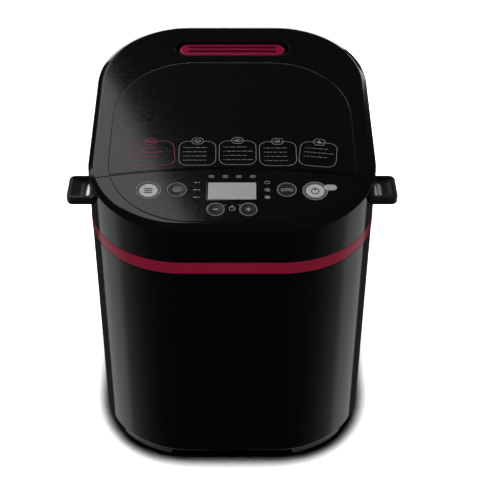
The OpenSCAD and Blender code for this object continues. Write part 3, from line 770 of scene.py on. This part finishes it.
def hinge():
    """The housing's four lugs and the lid's two knuckles."""
    lugs = [s * HINGE_X + k * LUG_OFF for s in (-1, 1) for k in (-1, 1)]
    hinge_tubes("hinge_lugs", "housing", "upper_housing", LUG_R, LUG_W, lugs)
    hinge_tubes("lid_knuckles", "lid", "lid_cover", KNUCKLE_R, KNUCKLE_W, [-HINGE_X, HINGE_X])


def lid_shell():
    """The lid's cover with its skirt, its vent recess and the seat for its panel."""
    shell = block(top_sections(plane(-LID_SKIRT)))
    carve(shell, arc_block(SPLIT_GAP / 2), "INTERSECT")
    inside = hollow(WALL, plane(-LID_SKIRT - MM), plane(LID_UNDER))
    carve(inside, arc_block(SPLIT_GAP / 2 + LID_SPLIT_WALL), "INTERSECT")
    carve(shell, inside)
    carve(shell, slot_sheared(VENT_W, VENT_D, CHAMFER_RISE - 4.1 * MM, 0.05))
    seat = panel_seat(LID_SEAT)
    carve(seat, arc_block(SPLIT_GAP / 2 + SEAT_EDGE), "INTERSECT")
    carve(shell, seat)
    place(soften(tidy(shell), 0.25 * MM), "lid_shell", "lid", "lid_cover", gloss_black, "lid_cover")


def slot_sheared(w, d, low, high):
    """A slot-shaped cutter over the vent, between two planes that lie along the top."""
    bm = bmesh.new()
    loft(bm, [ring(w, d, d / 2, Vector((*VENT, 0)), plane(up), 12) for up in (low, high)])
    return finish_mesh(bm, "slot")


# ---------------------------------------------------------------- fittings on the top

PANEL_UP = 0.25 * MM


def panel(name, body, slot_name, node, rear):
    """One of the two panels that share an outline, with a fine bevelled edge."""
    top = CHAMFER_RISE + PANEL_UP
    edge = 0.9 * MM
    fit = 0.25 * MM
    bend = bend_between((fit, top - edge / 2), (fit, top), (fit + edge, top), 4)
    sections = [(fit, plane(CHAMFER_RISE - 0.75 * MM))]
    sections += [(inset, plane(up)) for inset, up in bend]
    plate = block(sections, PANEL_W, PANEL_D, PANEL_R, PANEL_MID)
    offset = (SPLIT_GAP / 2 + PANEL_EDGE) * (1 if rear else -1)
    carve(plate, arc_block(offset, rear), "INTERSECT")
    if not rear:
        cut_deck(plate)
    place(soften(tidy(plate), 0.12 * MM), name, body, slot_name, deck_black, node)


def revolve(bm, profile, at, segments=72):
    """Adds a closed shape turned about at's Z axis; profile is a closed (radius, height) loop."""
    before = set(bm.verts)
    verts = [bm.verts.new((r, 0, z)) for r, z in profile]
    edges = [bm.edges.new((a, b)) for a, b in zip(verts, verts[1:] + verts[:1])]
    bmesh.ops.spin(bm, geom=verts + edges, cent=(0, 0, 0), axis=(0, 0, 1), angle=2 * math.pi,
                   steps=segments, use_merge=True)
    added = [v for v in bm.verts if v not in before]
    bmesh.ops.remove_doubles(bm, verts=added, dist=1e-7)
    added = [v for v in bm.verts if v not in before]
    bmesh.ops.transform(bm, matrix=at, verts=added)


def button_rings():
    """The fine bright ring round each button, and the black dish inside the two large ones."""
    bm = bmesh.new()
    dish = bmesh.new()
    width = 0.75 * MM
    top = 0.75 * MM
    foot = -1.2 * MM
    edge = 0.3 * MM
    for key, x, y, radius, ring_r in KEYS:
        inner = ring_r - width
        crest = (ring_r - width / 2, top)
        profile = [(inner, foot), (ring_r, foot)]
        profile += bend_between((ring_r, top - edge), (ring_r, top), crest, 3)
        profile += bend_between(crest, (inner, top), (inner, top - edge), 3)[1:]
        revolve(bm, profile, on_deck(x, y))
        if key in LARGE_KEYS:
            near = radius + GAP
            profile = [(near, foot), (inner, foot), (inner, 0.35 * MM), (near, 0.1 * MM)]
            revolve(dish, profile, on_deck(x, y))
    rings = finish_mesh(bm, "rings")
    place(rings, "button_rings", "housing", "button_bezels", ring_silver, "button_bezels")
    place(finish_mesh(dish, "dishes"), "button_dishes", "housing", "button_bezels", satin_black)


def button_caps():
    """Round caps with a slightly dished face, each with its flange and plunger."""
    plunger_end = -9.8 * MM
    plunger_r = 2 * MM
    flange_low = -5.6 * MM
    flange_high = -4.4 * MM
    for key, x, y, radius, _ in KEYS:
        large = key in LARGE_KEYS
        edge = 0.8 * MM
        dip = 0.35 * MM if large else 0.15 * MM
        bottom = CAP_TOP - dip
        flange_r = radius + CAP_FLANGE
        profile = [(0, plunger_end), (plunger_r, plunger_end), (plunger_r, flange_low)]
        profile += [(flange_r, flange_low), (flange_r, flange_high), (radius, flange_high)]
        profile += bend_between((radius, CAP_TOP - edge), (radius, CAP_TOP), (radius - edge, CAP_TOP), 5)
        slope_from = (radius * 0.8, CAP_TOP - dip * 0.35)
        profile += bend_between(slope_from, (radius * 0.4, bottom), (0, bottom), 5)
        cap = turned(profile, on_deck(x, y), "cap", 72)
        finish = key_silver if large else key_black
        place(cap, key + "_cap", key + "_key", key + "_button", finish, key + "_button")


def window_and_lamp():
    """The grey display with its black surround, and the lamp by the start button."""
    at = on_deck(*WINDOW)
    wide = WINDOW_W - WINDOW_FIT
    deep = WINDOW_D - WINDOW_FIT
    glass = plate_on(wide, deep, 1.1 * MM, -1.3 * MM, 0.1 * MM, at, 0.3 * MM)
    place(glass, "display_glass", "housing", "display_window", lcd_grey, "display_window")
    border = plate_on(wide, deep, 1.1 * MM, 0.1 * MM, 0.42 * MM, at, 0.15 * MM)
    line = 3.4 * MM
    carve(border, plate_on(WINDOW_W - line, WINDOW_D - 3.6 * MM, 0.8 * MM, -2 * MM, 2 * MM, at))
    place(tidy(border), "display_surround", "housing", "display_window", deck_black)
    fit = 0.4 * MM
    lamp = slot_rounded(LAMP_W - fit, LAMP_D - fit, -3.4 * MM, 0.95 * MM, on_deck(*LAMP), 0.9 * MM)
    place(lamp, "indicator_lens", "housing", "indicator_light", lamp_milk, "indicator_light")


def vent():
    """The crimson vent insert: end pads, three bars and two slots, in its black recess; the slot floors
    are a darker crimson, painted shade.
    """
    at = on_deck(*VENT)
    slot_w = 86 * MM
    slot_d = 3.8 * MM
    slot_low = -2.4 * MM
    fit = 0.2 * MM
    rows = [at @ Matrix.Translation((0, side * 3.0 * MM, 0)) for side in (-1, 1)]
    body = slot_rounded(102.4 * MM, 16.8 * MM, -3.3 * MM, -0.9 * MM, at, 1.6 * MM)
    for row in rows:
        carve(body, slot_on(slot_w, slot_d, slot_low, 4 * MM, row))
    place(soften(tidy(body), 0.3 * MM), "vent_insert", "lid", "vent_grille", crimson_deep, "vent_grille")
    # The slot floors are a darker crimson, painted shade in the slots.
    floors = bmesh.new()
    for row in rows:
        heights = (slot_low - 0.6 * MM, slot_low + 0.05 * MM)
        loft(floors, [stadium_ring(slot_w - fit, slot_d - fit, 0, row, up) for up in heights])
    place(finish_mesh(floors, "floors"), "vent_slots", "lid", "vent_grille", crimson_painted_shade)


def side_grip(side, name):
    """A carrying grip: a tongue with rounded corners and a finger dish."""
    low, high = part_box(name)
    inner = 96 * MM
    outer = max(abs(low.x), abs(high.x))
    width = outer - inner
    length = high.y - low.y
    middle = Vector((side * (inner + width / 2), (low.y + high.y) / 2, 0))
    edge = 1.4 * MM
    base = low.z
    top = high.z
    bm = bmesh.new()
    loops = bend_between((edge, base), (0, base), (0, base + edge), 4)
    loops += bend_between((0, top - edge), (0, top), (edge, top), 5)
    loft(bm, [ring(width - 2 * i, length - 2 * i, 6 * MM - i, middle, level(z), 8) for i, z in loops])
    tongue = finish_mesh(bm, "tongue")
    dish_at = Matrix.Translation((side * (outer - 11.6 * MM), middle.y, top + 9.2 * MM))
    dish_at = dish_at @ Matrix.Rotation(QUARTER, 4, "X")
    carve(tongue, cylinder_cutter(13 * MM, length - 7 * MM, dish_at, 128))
    body = block([(WALL / 2, level(base - MM)), (WALL / 2, level(top + 2 * MM))])
    carve(tongue, body)
    place(soften(tidy(tongue), 0.3 * MM), name + "_tongue", "housing", name, grip_black, name)


# ---------------------------------------------------------------- printed marks

PRINT_UP = 0.16
SYMBOL_UP = 0.42
PRINT_ROOT = -0.05


def bar(bm, x, y, length, width, turn, thick=PRINT_UP):
    """A thin raised bar on the panels, in millimetres and degrees."""
    at = on_deck(x * MM, y * MM, PANEL_UP) @ Matrix.Rotation(math.radians(turn), 4, "Z")
    longest = max(length, width * 1.01)
    heights = (PRINT_ROOT * MM, thick * MM)
    loft(bm, [stadium_ring(longest * MM, width * MM, 0, at, up, 5) for up in heights])


def bars(name, finish, body, slot_name, marks):
    """Bars that belong together: (x, y, length, width, turn) for each."""
    bm = bmesh.new()
    for mark in marks:
        bar(bm, *mark)
    return place(finish_mesh(bm, name), name, body, slot_name, finish)


def outline(bm, x, y, w, d, r, line, turn=0.0, thick=PRINT_UP):
    """A thin raised outline of a round-cornered box on the panels, in millimetres."""
    at = on_deck(x * MM, y * MM, PANEL_UP) @ Matrix.Rotation(math.radians(turn), 4, "Z")
    loops = []
    for inset, up in ((0, PRINT_ROOT), (0, thick), (line, thick), (line, PRINT_ROOT)):
        width = (w - 2 * inset) * MM
        depth = (d - 2 * inset) * MM
        points = ring(width, depth, (r - inset) * MM, ORIGIN, level(up * MM), 8)
        loops.append([at @ p for p in points])
    loft(bm, loops, closed=True)


# The legend boxes and what is in them are drawn in millimetres.
BOX_W = 33.2
BOX_D = 31.6
BOX_R = 8.0
BOX_STEP = 35.8
BOX_MID = 4.9
BOX_UP = 20.2
BOX_LINE = 0.45
HEAD_W = 11.0
HEAD_D = 8.6
HEAD_R = 4.2
ICON_LINE = 0.5
ROW_STEP = 5.4
ROW_W = 0.75
WORD_GAP = 0.9


def legend_places():
    """The number, middle, width and turn of each of the five legend boxes, along the split arc."""
    places = []
    for i in range(-2, 3):
        accent = i == -2
        x = BOX_MID + i * BOX_STEP - (4.6 if accent else 0)
        turn = math.degrees(math.asin(x * MM / SPLIT_R))
        drop = (SPLIT_R - math.sqrt(SPLIT_R ** 2 - (x * MM) ** 2)) / MM
        end = abs(i) == 2
        width = BOX_W + (7.4 if accent else 0)
        y = SPLIT_Y / MM + BOX_UP - drop + (2.4 if end else 0)
        places.append((i, x, y, width, -turn if end else 0))
    return places


def legends():
    """Five boxes of picture marks and lines on the lid; the first is in the accent colour."""
    grey = bmesh.new()
    accent = bmesh.new()
    icons = {True: [], False: []}
    lines = {True: [], False: []}
    for i, x, y, width, turn in legend_places():
        first = i == -2
        bm = accent if first else grey
        outline(bm, x, y, width, BOX_D, BOX_R, BOX_LINE, turn)
        place_at = Matrix.Translation((x, y, 0)) @ Matrix.Rotation(math.radians(turn), 4, "Z")
        head = place_at @ Vector((0, BOX_D / 2, 0))
        outline(bm, head.x, head.y, HEAD_W, HEAD_D, HEAD_R, ICON_LINE, turn)
        legend_icon(bm, icons[first], i, head, turn)
        for row in range(4 if -2 < i < 2 else 3):
            lines[first] += legend_row(i, row, width, place_at, turn)
    place(finish_mesh(grey, "legend_boxes"), "legend_boxes", "lid", "lid_panel", print_dim)
    place(finish_mesh(accent, "legend_box_accent"), "legend_box_accent", "lid", "lid_panel", print_crimson)
    bars("legend_icons", print_dim, "lid", "lid_panel", icons[False])
    bars("legend_lines", print_faint, "lid", "lid_panel", lines[False])
    bars("legend_lines_accent", print_crimson, "lid", "lid_panel", lines[True] + icons[True])


def legend_row(i, row, width, place_at, turn):
    """One line in a legend box: a short bar and then longer ones, as far as the box goes."""
    marks = []
    down = BOX_D / 2 - HEAD_D - row * ROW_STEP
    start = -width / 2 + 4.0
    words = [2.6 + (i * i + row * 2 + word * 3) % 4 * 0.9 for word in range(4 + row % 2)]
    for length in [1.3] + words:
        if start + length > width / 2 - 3.0:
            break
        at = place_at @ Vector((start + length / 2, down, 0))
        marks.append((at.x, at.y, length, ROW_W, turn))
        start += length + WORD_GAP
    return marks


def legend_icon(bm, row, i, head, turn):
    """The small picture at the head of a legend box: loaves, a cake, a dough ball and a jar."""
    if i in (-1, 0):
        outline(bm, head.x, head.y, 5.0, 3.8, 1.4, ICON_LINE, turn)
    if i == 0:
        row.append((head.x, head.y, 2.4, 1.0, 90))
    if i == 1:
        outline(bm, head.x, head.y, 4.6, 4.4, 2.1, ICON_LINE, turn)
        row.append((head.x + 0.6, head.y + 0.4, 2.0, 0.9, 30))
    if i == -2:
        for k in (-1, 1):
            outline(bm, head.x + 1.7 * k, head.y - 0.3 * k, 3.0, 3.6, 1.3, ICON_LINE, turn)
    if i == 2:
        row += [(head.x, head.y - 1.0, 4.6, 1.0, turn), (head.x, head.y + 0.5, 3.2, 0.9, turn)]
        row.append((head.x, head.y + 1.8, 1.4, 0.8, turn))


def deck_marks():
    """Symbols by the buttons and the display, with no words."""
    grey = []
    symbols = bmesh.new()
    line = 0.35
    wx = WINDOW[0] / MM
    wy = WINDOW[1] / MM
    beside_x = 30.4
    for k in range(3):
        y = wy + 10.1 - k * 8.9
        grey += [(-31.6, y, 3.2 + 0.4 * k, 0.7, 0), (-28.4, y, 1.0, 0.9, 0)]
        outline(symbols, beside_x, y, 4.6, 3.4, 1.6, line)
        if k:
            grey.append((beside_x, y, 2.4, 0.7 + 0.8 * (k - 1), 0))
    above_y = wy + 17.5
    for k in range(4):
        x = wx - 18.0 + 12.0 * k
        outline(symbols, x, above_y, 4.6, 3.0, 1.4, line)
        grey.append((x, above_y, 2.0, 0.5, 90 if k % 2 else 0))
    clock_y = wy - 21.4
    outline(symbols, wx, clock_y, 5.4, 5.4, 2.69, 0.4)
    grey += [(wx, clock_y + 0.7, 1.7, 0.45, 90), (wx, clock_y + 3.3, 2.0, 0.6, 0)]
    for side in (-1, 1):
        for k in range(7):
            x = wx + side * (6.2 + 1.9 * k)
            grey.append((x, clock_y + 4.2 - 0.12 * k * k, 2.1, 0.3, -side * 6 * k))
    bars("deck_marks", print_grey, "housing", "control_overlay", grey)
    place(finish_mesh(symbols, "symbols"), "deck_symbols", "housing", "control_overlay", print_grey)


def key_marks():
    """The raised symbols on the buttons."""
    for key, x, y, _, _ in KEYS:
        px = x / MM
        py = y / MM
        bm = bmesh.new()
        marks = []
        if key == "menu":
            marks += [(px, py + 2.4 * k, 7.2, 1.0, 0) for k in (-1, 0, 1)]
        if key == "start":
            marks.append((px, py + 2.6, 4.0, 1.0, 90))
            outline(bm, px, py - 0.3, 7.4, 7.4, 3.69, 1.0, 0, SYMBOL_UP)
        if key in ("minus", "plus"):
            marks.append((px, py, 4.6, 0.9, 0))
        if key == "plus":
            marks.append((px, py, 4.6, 0.9, 90))
        if key == "loaf":
            outline(bm, px, py, 6.6, 4.8, 2.0, 0.5, 0, SYMBOL_UP)
            marks.append((px, py - 0.4, 3.6, 0.6, 0))
        if key == "crust":
            for k in (-1, 0, 1):
                outline(bm, px + 3.6 * k, py - 0.4 * abs(k), 2.9, 3.4, 1.2, 0.45, 0, SYMBOL_UP)
        for mark in marks:
            bar(bm, *mark, SYMBOL_UP)
        finish = satin_black if key in LARGE_KEYS else print_grey
        place(finish_mesh(bm, key), key + "_symbol", key + "_key", key + "_button", finish)


# ---------------------------------------------------------------- pan

def baking_pan():
    """The coated pan: a rounded floor, straight sides and a rolled rim."""
    skin = 2 * MM
    base = pan_low.z
    floor_z = base + skin
    top = base + PAN_H
    crest = top + 0.5 * MM
    under = top - 3 * MM
    lip = top - 1.4 * MM
    bend_r = 9 * MM
    rim = 4 * MM
    bush_in = PAN_D / 2 - 9.2 * MM
    loops = [(bush_in, base)]
    loops += bend_between((bend_r, base), (0, base), (0, base + bend_r), 7)
    loops += [(0, under)]
    loops += bend_between((-rim + MM, under), (-rim, under), (-rim, lip), 3)
    loops += bend_between((-rim, lip), (-rim, crest), (-rim + 1.6 * MM, crest), 4)[1:]
    loops += bend_between((0, crest), (skin, crest), (skin, top - 2 * MM), 4)
    loops += bend_between((skin, base + bend_r), (skin, floor_z), (bend_r + skin, floor_z), 7)
    loops += [(bush_in, floor_z)]
    bm = bmesh.new()
    rings = []
    for inset, z in loops:
        r = max(PAN_R - inset, 9.15 * MM)
        rings.append(ring(PAN_W - 2 * inset, PAN_D - 2 * inset, r, MOUTH_MID, level(z), 12))
    loft(bm, rings, closed=True)
    place(soften(finish_mesh(bm, "pan"), 0), "pan_body", "pan", "bread_pan", pan_coating, "bread_pan")


def pan_ears():
    """The two ears that stand on the pan's rim, bored for its handle."""
    ear_r = 8 * MM
    ear_t = 3 * MM
    turn = Matrix.Rotation(QUARTER, 4, "Y")
    for side in (-1, 1):
        middle = Vector((side * (PAN_W / 2 + 2.5 * MM), MOUTH_MID.y, pan_low.z + PAN_H + 10 * MM))
        at = Matrix.Translation(middle) @ turn
        ear = bmesh.new()
        cylinder_along(ear, ear_r, ear_t, at, 48)
        piece = finish_mesh(ear, "ear")
        low = middle - Vector((ear_t / 2, ear_r, 9.5 * MM))
        carve(piece, box_cutter(low, middle + Vector((ear_t / 2, ear_r, 0))), "UNION")
        carve(piece, cylinder_cutter(2.6 * MM, 20 * MM, at, 40))
        name = "pan_ear_left" if side < 0 else "pan_ear_right"
        place(soften(tidy(piece), 0.4 * MM), name, "pan", "pan_ears", pan_coating, "pan_ears")


CAD_FINISHES = {
    "corner_feet": feet_grey,
    "foot_pads": soft_rubber,
    "base_tray": satin_black,
    "lcd_module": print_dim,
    "control_board": board_green,
    "power_board": board_green,
    "oven_chamber": chamber_steel,
    "heating_element": heater_steel,
    "temperature_sensor": ground_steel,
    "thermal_fuse": ceramic_white,
    "pan_seat": zinc_plate,
    "chassis_plate": zinc_plate,
    "chassis_screws": ground_steel,
    "motor_frame": zinc_plate,
    "motor_stator": copper_winding,
    "motor_mounts": soft_rubber,
    "run_capacitor": white_nylon,
    "bearing_housing": cast_aluminium,
    "drive_bearings": sintered_bronze,
    "drive_belt": soft_rubber,
    "hinge_pins": ground_steel,
    "cord_gland": satin_black,
    "lid_inner_frame": satin_black,
    "lid_liner": liner_aluminium,
    "lid_seal": grey_silicone,
    "lid_screws": ground_steel,
    "pan_base": cast_aluminium,
    "pan_bearing": sintered_bronze,
    "pan_seal": red_silicone,
    "pan_handle": bright_wire,
    "pan_shaft": ground_steel,
    "pan_coupling": cast_aluminium,
    "kneading_paddle": paddle_coating,
    "drive_shaft": ground_steel,
    "drive_coupling": cast_aluminium,
    "large_pulley": satin_black,
    "motor_rotor": laminated_steel,
    "motor_shaft": ground_steel,
    "small_pulley": cast_aluminium,
    "cooling_fan": white_nylon,
}

SOFT_EDGES = {
    "corner_feet": 0.8,
    "cord_gland": 0.5,
    "kneading_paddle": 0.6,
    "pan_base": 0.5,
    "drive_coupling": 0.4,
    "pan_seat": 0.4,
    "lid_liner": 0.3,
    "lid_inner_frame": 0.3,
    "pan_handle": 0.3,
}


def finish_cad():
    """Gives each CAD node that shows its finish, and rounds the edges of the larger ones."""
    for name, maker in CAD_FINISHES.items():
        obj = frame["nodes"][name]
        obj.data.materials.clear()
        obj.data.materials.append(material(maker))
        for poly in obj.data.polygons:
            poly.material_index = 0
        if name in SOFT_EDGES:
            soften(obj, SOFT_EDGES[name] * MM)


# ---------------------------------------------------------------- stage

def floor_white():
    """White, with a painted contact shadow: the colour darkens where ambient occlusion finds the object in
    the last centimetres before it; evenly lit far away.
    """
    m, tree, shader = nodes_of("floor_white")
    shader.inputs["Roughness"].default_value = 0.9
    shader.inputs["Emission Color"].default_value = (1, 1, 1, 1)
    # Painted contact shadow: ambient occlusion near the object darkens the floor's base colour.
    contact_shadow_ao = tree.nodes.new("ShaderNodeAmbientOcclusion")
    contact_shadow_ao.inputs["Distance"].default_value = 0.03
    shade = tree.nodes.new("ShaderNodeMapRange")
    shade.interpolation_type = "SMOOTHSTEP"
    shade.inputs["From Min"].default_value = 0.56
    shade.inputs["From Max"].default_value = 0.87
    shade.inputs["To Max"].default_value = 0.9
    tree.links.new(contact_shadow_ao.outputs["AO"], shade.inputs["Value"])
    tree.links.new(shade.outputs["Result"], shader.inputs["Base Color"])
    where = tree.nodes.new("ShaderNodeTexCoord")
    away = tree.nodes.new("ShaderNodeVectorMath")
    away.operation = "LENGTH"
    tree.links.new(where.outputs["Object"], away.inputs[0])
    rise = tree.nodes.new("ShaderNodeMapRange")
    rise.inputs["From Min"].default_value = 0.45
    rise.inputs["From Max"].default_value = 1.6
    tree.links.new(away.outputs["Value"], rise.inputs["Value"])
    tree.links.new(rise.outputs["Result"], shader.inputs["Emission Strength"])
    return m


def floor():
    """A pale floor that the glossy body doesn't mirror."""
    bm = bmesh.new()
    bmesh.ops.create_grid(bm, x_segments=1, y_segments=1, size=60)
    piece = finish_mesh(bm, "floor")
    piece.data.materials.append(floor_white())
    piece.visible_glossy = False


# Degrees away from the front, and how bright the surround is there.
GLOW_STOPS = [
    (0, 0.01), (32, 0.022), (48, 0.05), (64, 0.12), (82, 0.26),
    (94, 0.6), (127, 0.7), (130, 0.04), (180, 0.02),
]


def surround_glow():
    """A glow whose brightness turns with the heading from straight ahead, the same on both sides."""
    m = bpy.data.materials.new("surround_glow")
    m.use_nodes = True
    tree = m.node_tree
    tree.nodes.clear()
    place_in = tree.nodes.new("ShaderNodeNewGeometry")
    split = tree.nodes.new("ShaderNodeSeparateXYZ")
    tree.links.new(place_in.outputs["Position"], split.inputs["Vector"])
    across = tree.nodes.new("ShaderNodeMath")
    across.operation = "ABSOLUTE"
    tree.links.new(split.outputs["X"], across.inputs[0])
    ahead = tree.nodes.new("ShaderNodeMath")
    ahead.operation = "MULTIPLY"
    ahead.inputs[1].default_value = -1
    tree.links.new(split.outputs["Y"], ahead.inputs[0])
    heading = tree.nodes.new("ShaderNodeMath")
    heading.operation = "ARCTAN2"
    tree.links.new(across.outputs[0], heading.inputs[0])
    tree.links.new(ahead.outputs[0], heading.inputs[1])
    turn = tree.nodes.new("ShaderNodeMath")
    turn.operation = "DIVIDE"
    turn.inputs[1].default_value = math.pi
    tree.links.new(heading.outputs[0], turn.inputs[0])
    ramp = tree.nodes.new("ShaderNodeValToRGB")
    tree.links.new(turn.outputs[0], ramp.inputs["Fac"])
    while len(ramp.color_ramp.elements) < len(GLOW_STOPS):
        ramp.color_ramp.elements.new(0.5)
    for element, (degrees, value) in zip(ramp.color_ramp.elements, GLOW_STOPS):
        element.position = degrees / 180
        element.color = (value, value, value, 1)
    glow = tree.nodes.new("ShaderNodeEmission")
    tree.links.new(ramp.outputs["Color"], glow.inputs["Color"])
    out = tree.nodes.new("ShaderNodeOutputMaterial")
    tree.links.new(glow.outputs["Emission"], out.inputs["Surface"])
    return m


def surround():
    """A disc far under the floor that only reflections see."""
    bm = bmesh.new()
    sunk = Matrix.Translation((0, 0, -20))
    bmesh.ops.create_circle(bm, cap_ends=True, segments=96, radius=90.0, matrix=sunk)
    piece = finish_mesh(bm, "surround")
    piece.data.materials.append(surround_glow())
    piece.visible_camera = False
    piece.visible_diffuse = False
    piece.visible_shadow = False
    piece.visible_transmission = False


def area_light(name, at, towards, size, power, size_y=None):
    """A rectangular light at one place that faces another."""
    data = bpy.data.lights.new(name, "AREA")
    data.shape = "RECTANGLE"
    data.size = size
    data.size_y = size_y or size
    data.energy = power
    lamp = bpy.data.objects.new(name, data)
    bpy.context.scene.collection.objects.link(lamp)
    lamp.location = at
    lamp.rotation_euler = (Vector(towards) - Vector(at)).to_track_quat("-Z", "Y").to_euler()
    return lamp


def studio_world():
    """White behind the object, and dim for everything that it lights."""
    world = bpy.data.worlds.new("studio")
    world.use_nodes = True
    tree = world.node_tree
    path = tree.nodes.new("ShaderNodeLightPath")
    strength = tree.nodes.new("ShaderNodeMapRange")
    strength.inputs["To Min"].default_value = 0.03
    strength.inputs["To Max"].default_value = 1.0
    tree.links.new(path.outputs["Is Camera Ray"], strength.inputs["Value"])
    tree.nodes["Background"].inputs["Color"].default_value = (1, 1, 1, 1)
    tree.links.new(strength.outputs["Result"], tree.nodes["Background"].inputs["Strength"])
    bpy.context.scene.world = world


def lights():
    """Two soft lights from above, and the strips and panes that the gloss picks up."""
    key = area_light("key", (0, -0.3, 3.0), (0, 0.1, 0), 4.0, 300)
    key.visible_glossy = False
    area_light("back_strip", (-0.5, 2.3, 0.55), (0, 0, 0.3), 3.0, 26, 0.8)
    area_light("upper_left", (-0.95, 1.35, 2.2), (0, 0.1, 0.3), 1.4, 9)
    area_light("left_flag", (-1.95, 2.3, 0.62), (0, 0, 0.3), 0.7, 10, 0.6)
    area_light("right_flag", (1.85, 2.3, 0.62), (0, 0, 0.3), 0.7, 3.5, 0.6)
    filler = area_light("filler", (0, 0.55, 2.4), (0, 0.1, 0), 1.2, 30)
    filler.visible_glossy = False
    area_light("right_upper", (1.35, 2.3, 1.55), (0, 0, 0.3), 0.8, 3.5, 0.5)


def camera():
    """A long lens that looks 38 degrees down at the front."""
    data = bpy.data.cameras.new("camera")
    data.sensor_width = 36
    data.lens = 89.94
    data.shift_x = 0.01545
    data.shift_y = 0.0117
    data.clip_end = 30
    eye = bpy.data.objects.new("camera", data)
    eye.location = (0, -0.9378, 0.8888)
    eye.rotation_euler = (math.radians(90 - 38.0), 0, 0)
    bpy.context.scene.collection.objects.link(eye)
    bpy.context.scene.camera = eye


# ---------------------------------------------------------------- build

lower_shell()
colour_band()
deck_shell()
lid_shell()
hinge()
panel("deck_panel", "housing", "control_overlay", "control_overlay", rear=False)
panel("lid_top_panel", "lid", "lid_panel", "lid_panel", rear=True)
button_rings()
button_caps()
window_and_lamp()
vent()
side_grip(-1, "left_grip")
side_grip(1, "right_grip")
legends()
deck_marks()
key_marks()
baking_pan()
pan_ears()
finish_cad()
floor()
surround()
studio_world()
lights()
camera()
bpy.context.scene.view_settings.view_transform = "Standard"
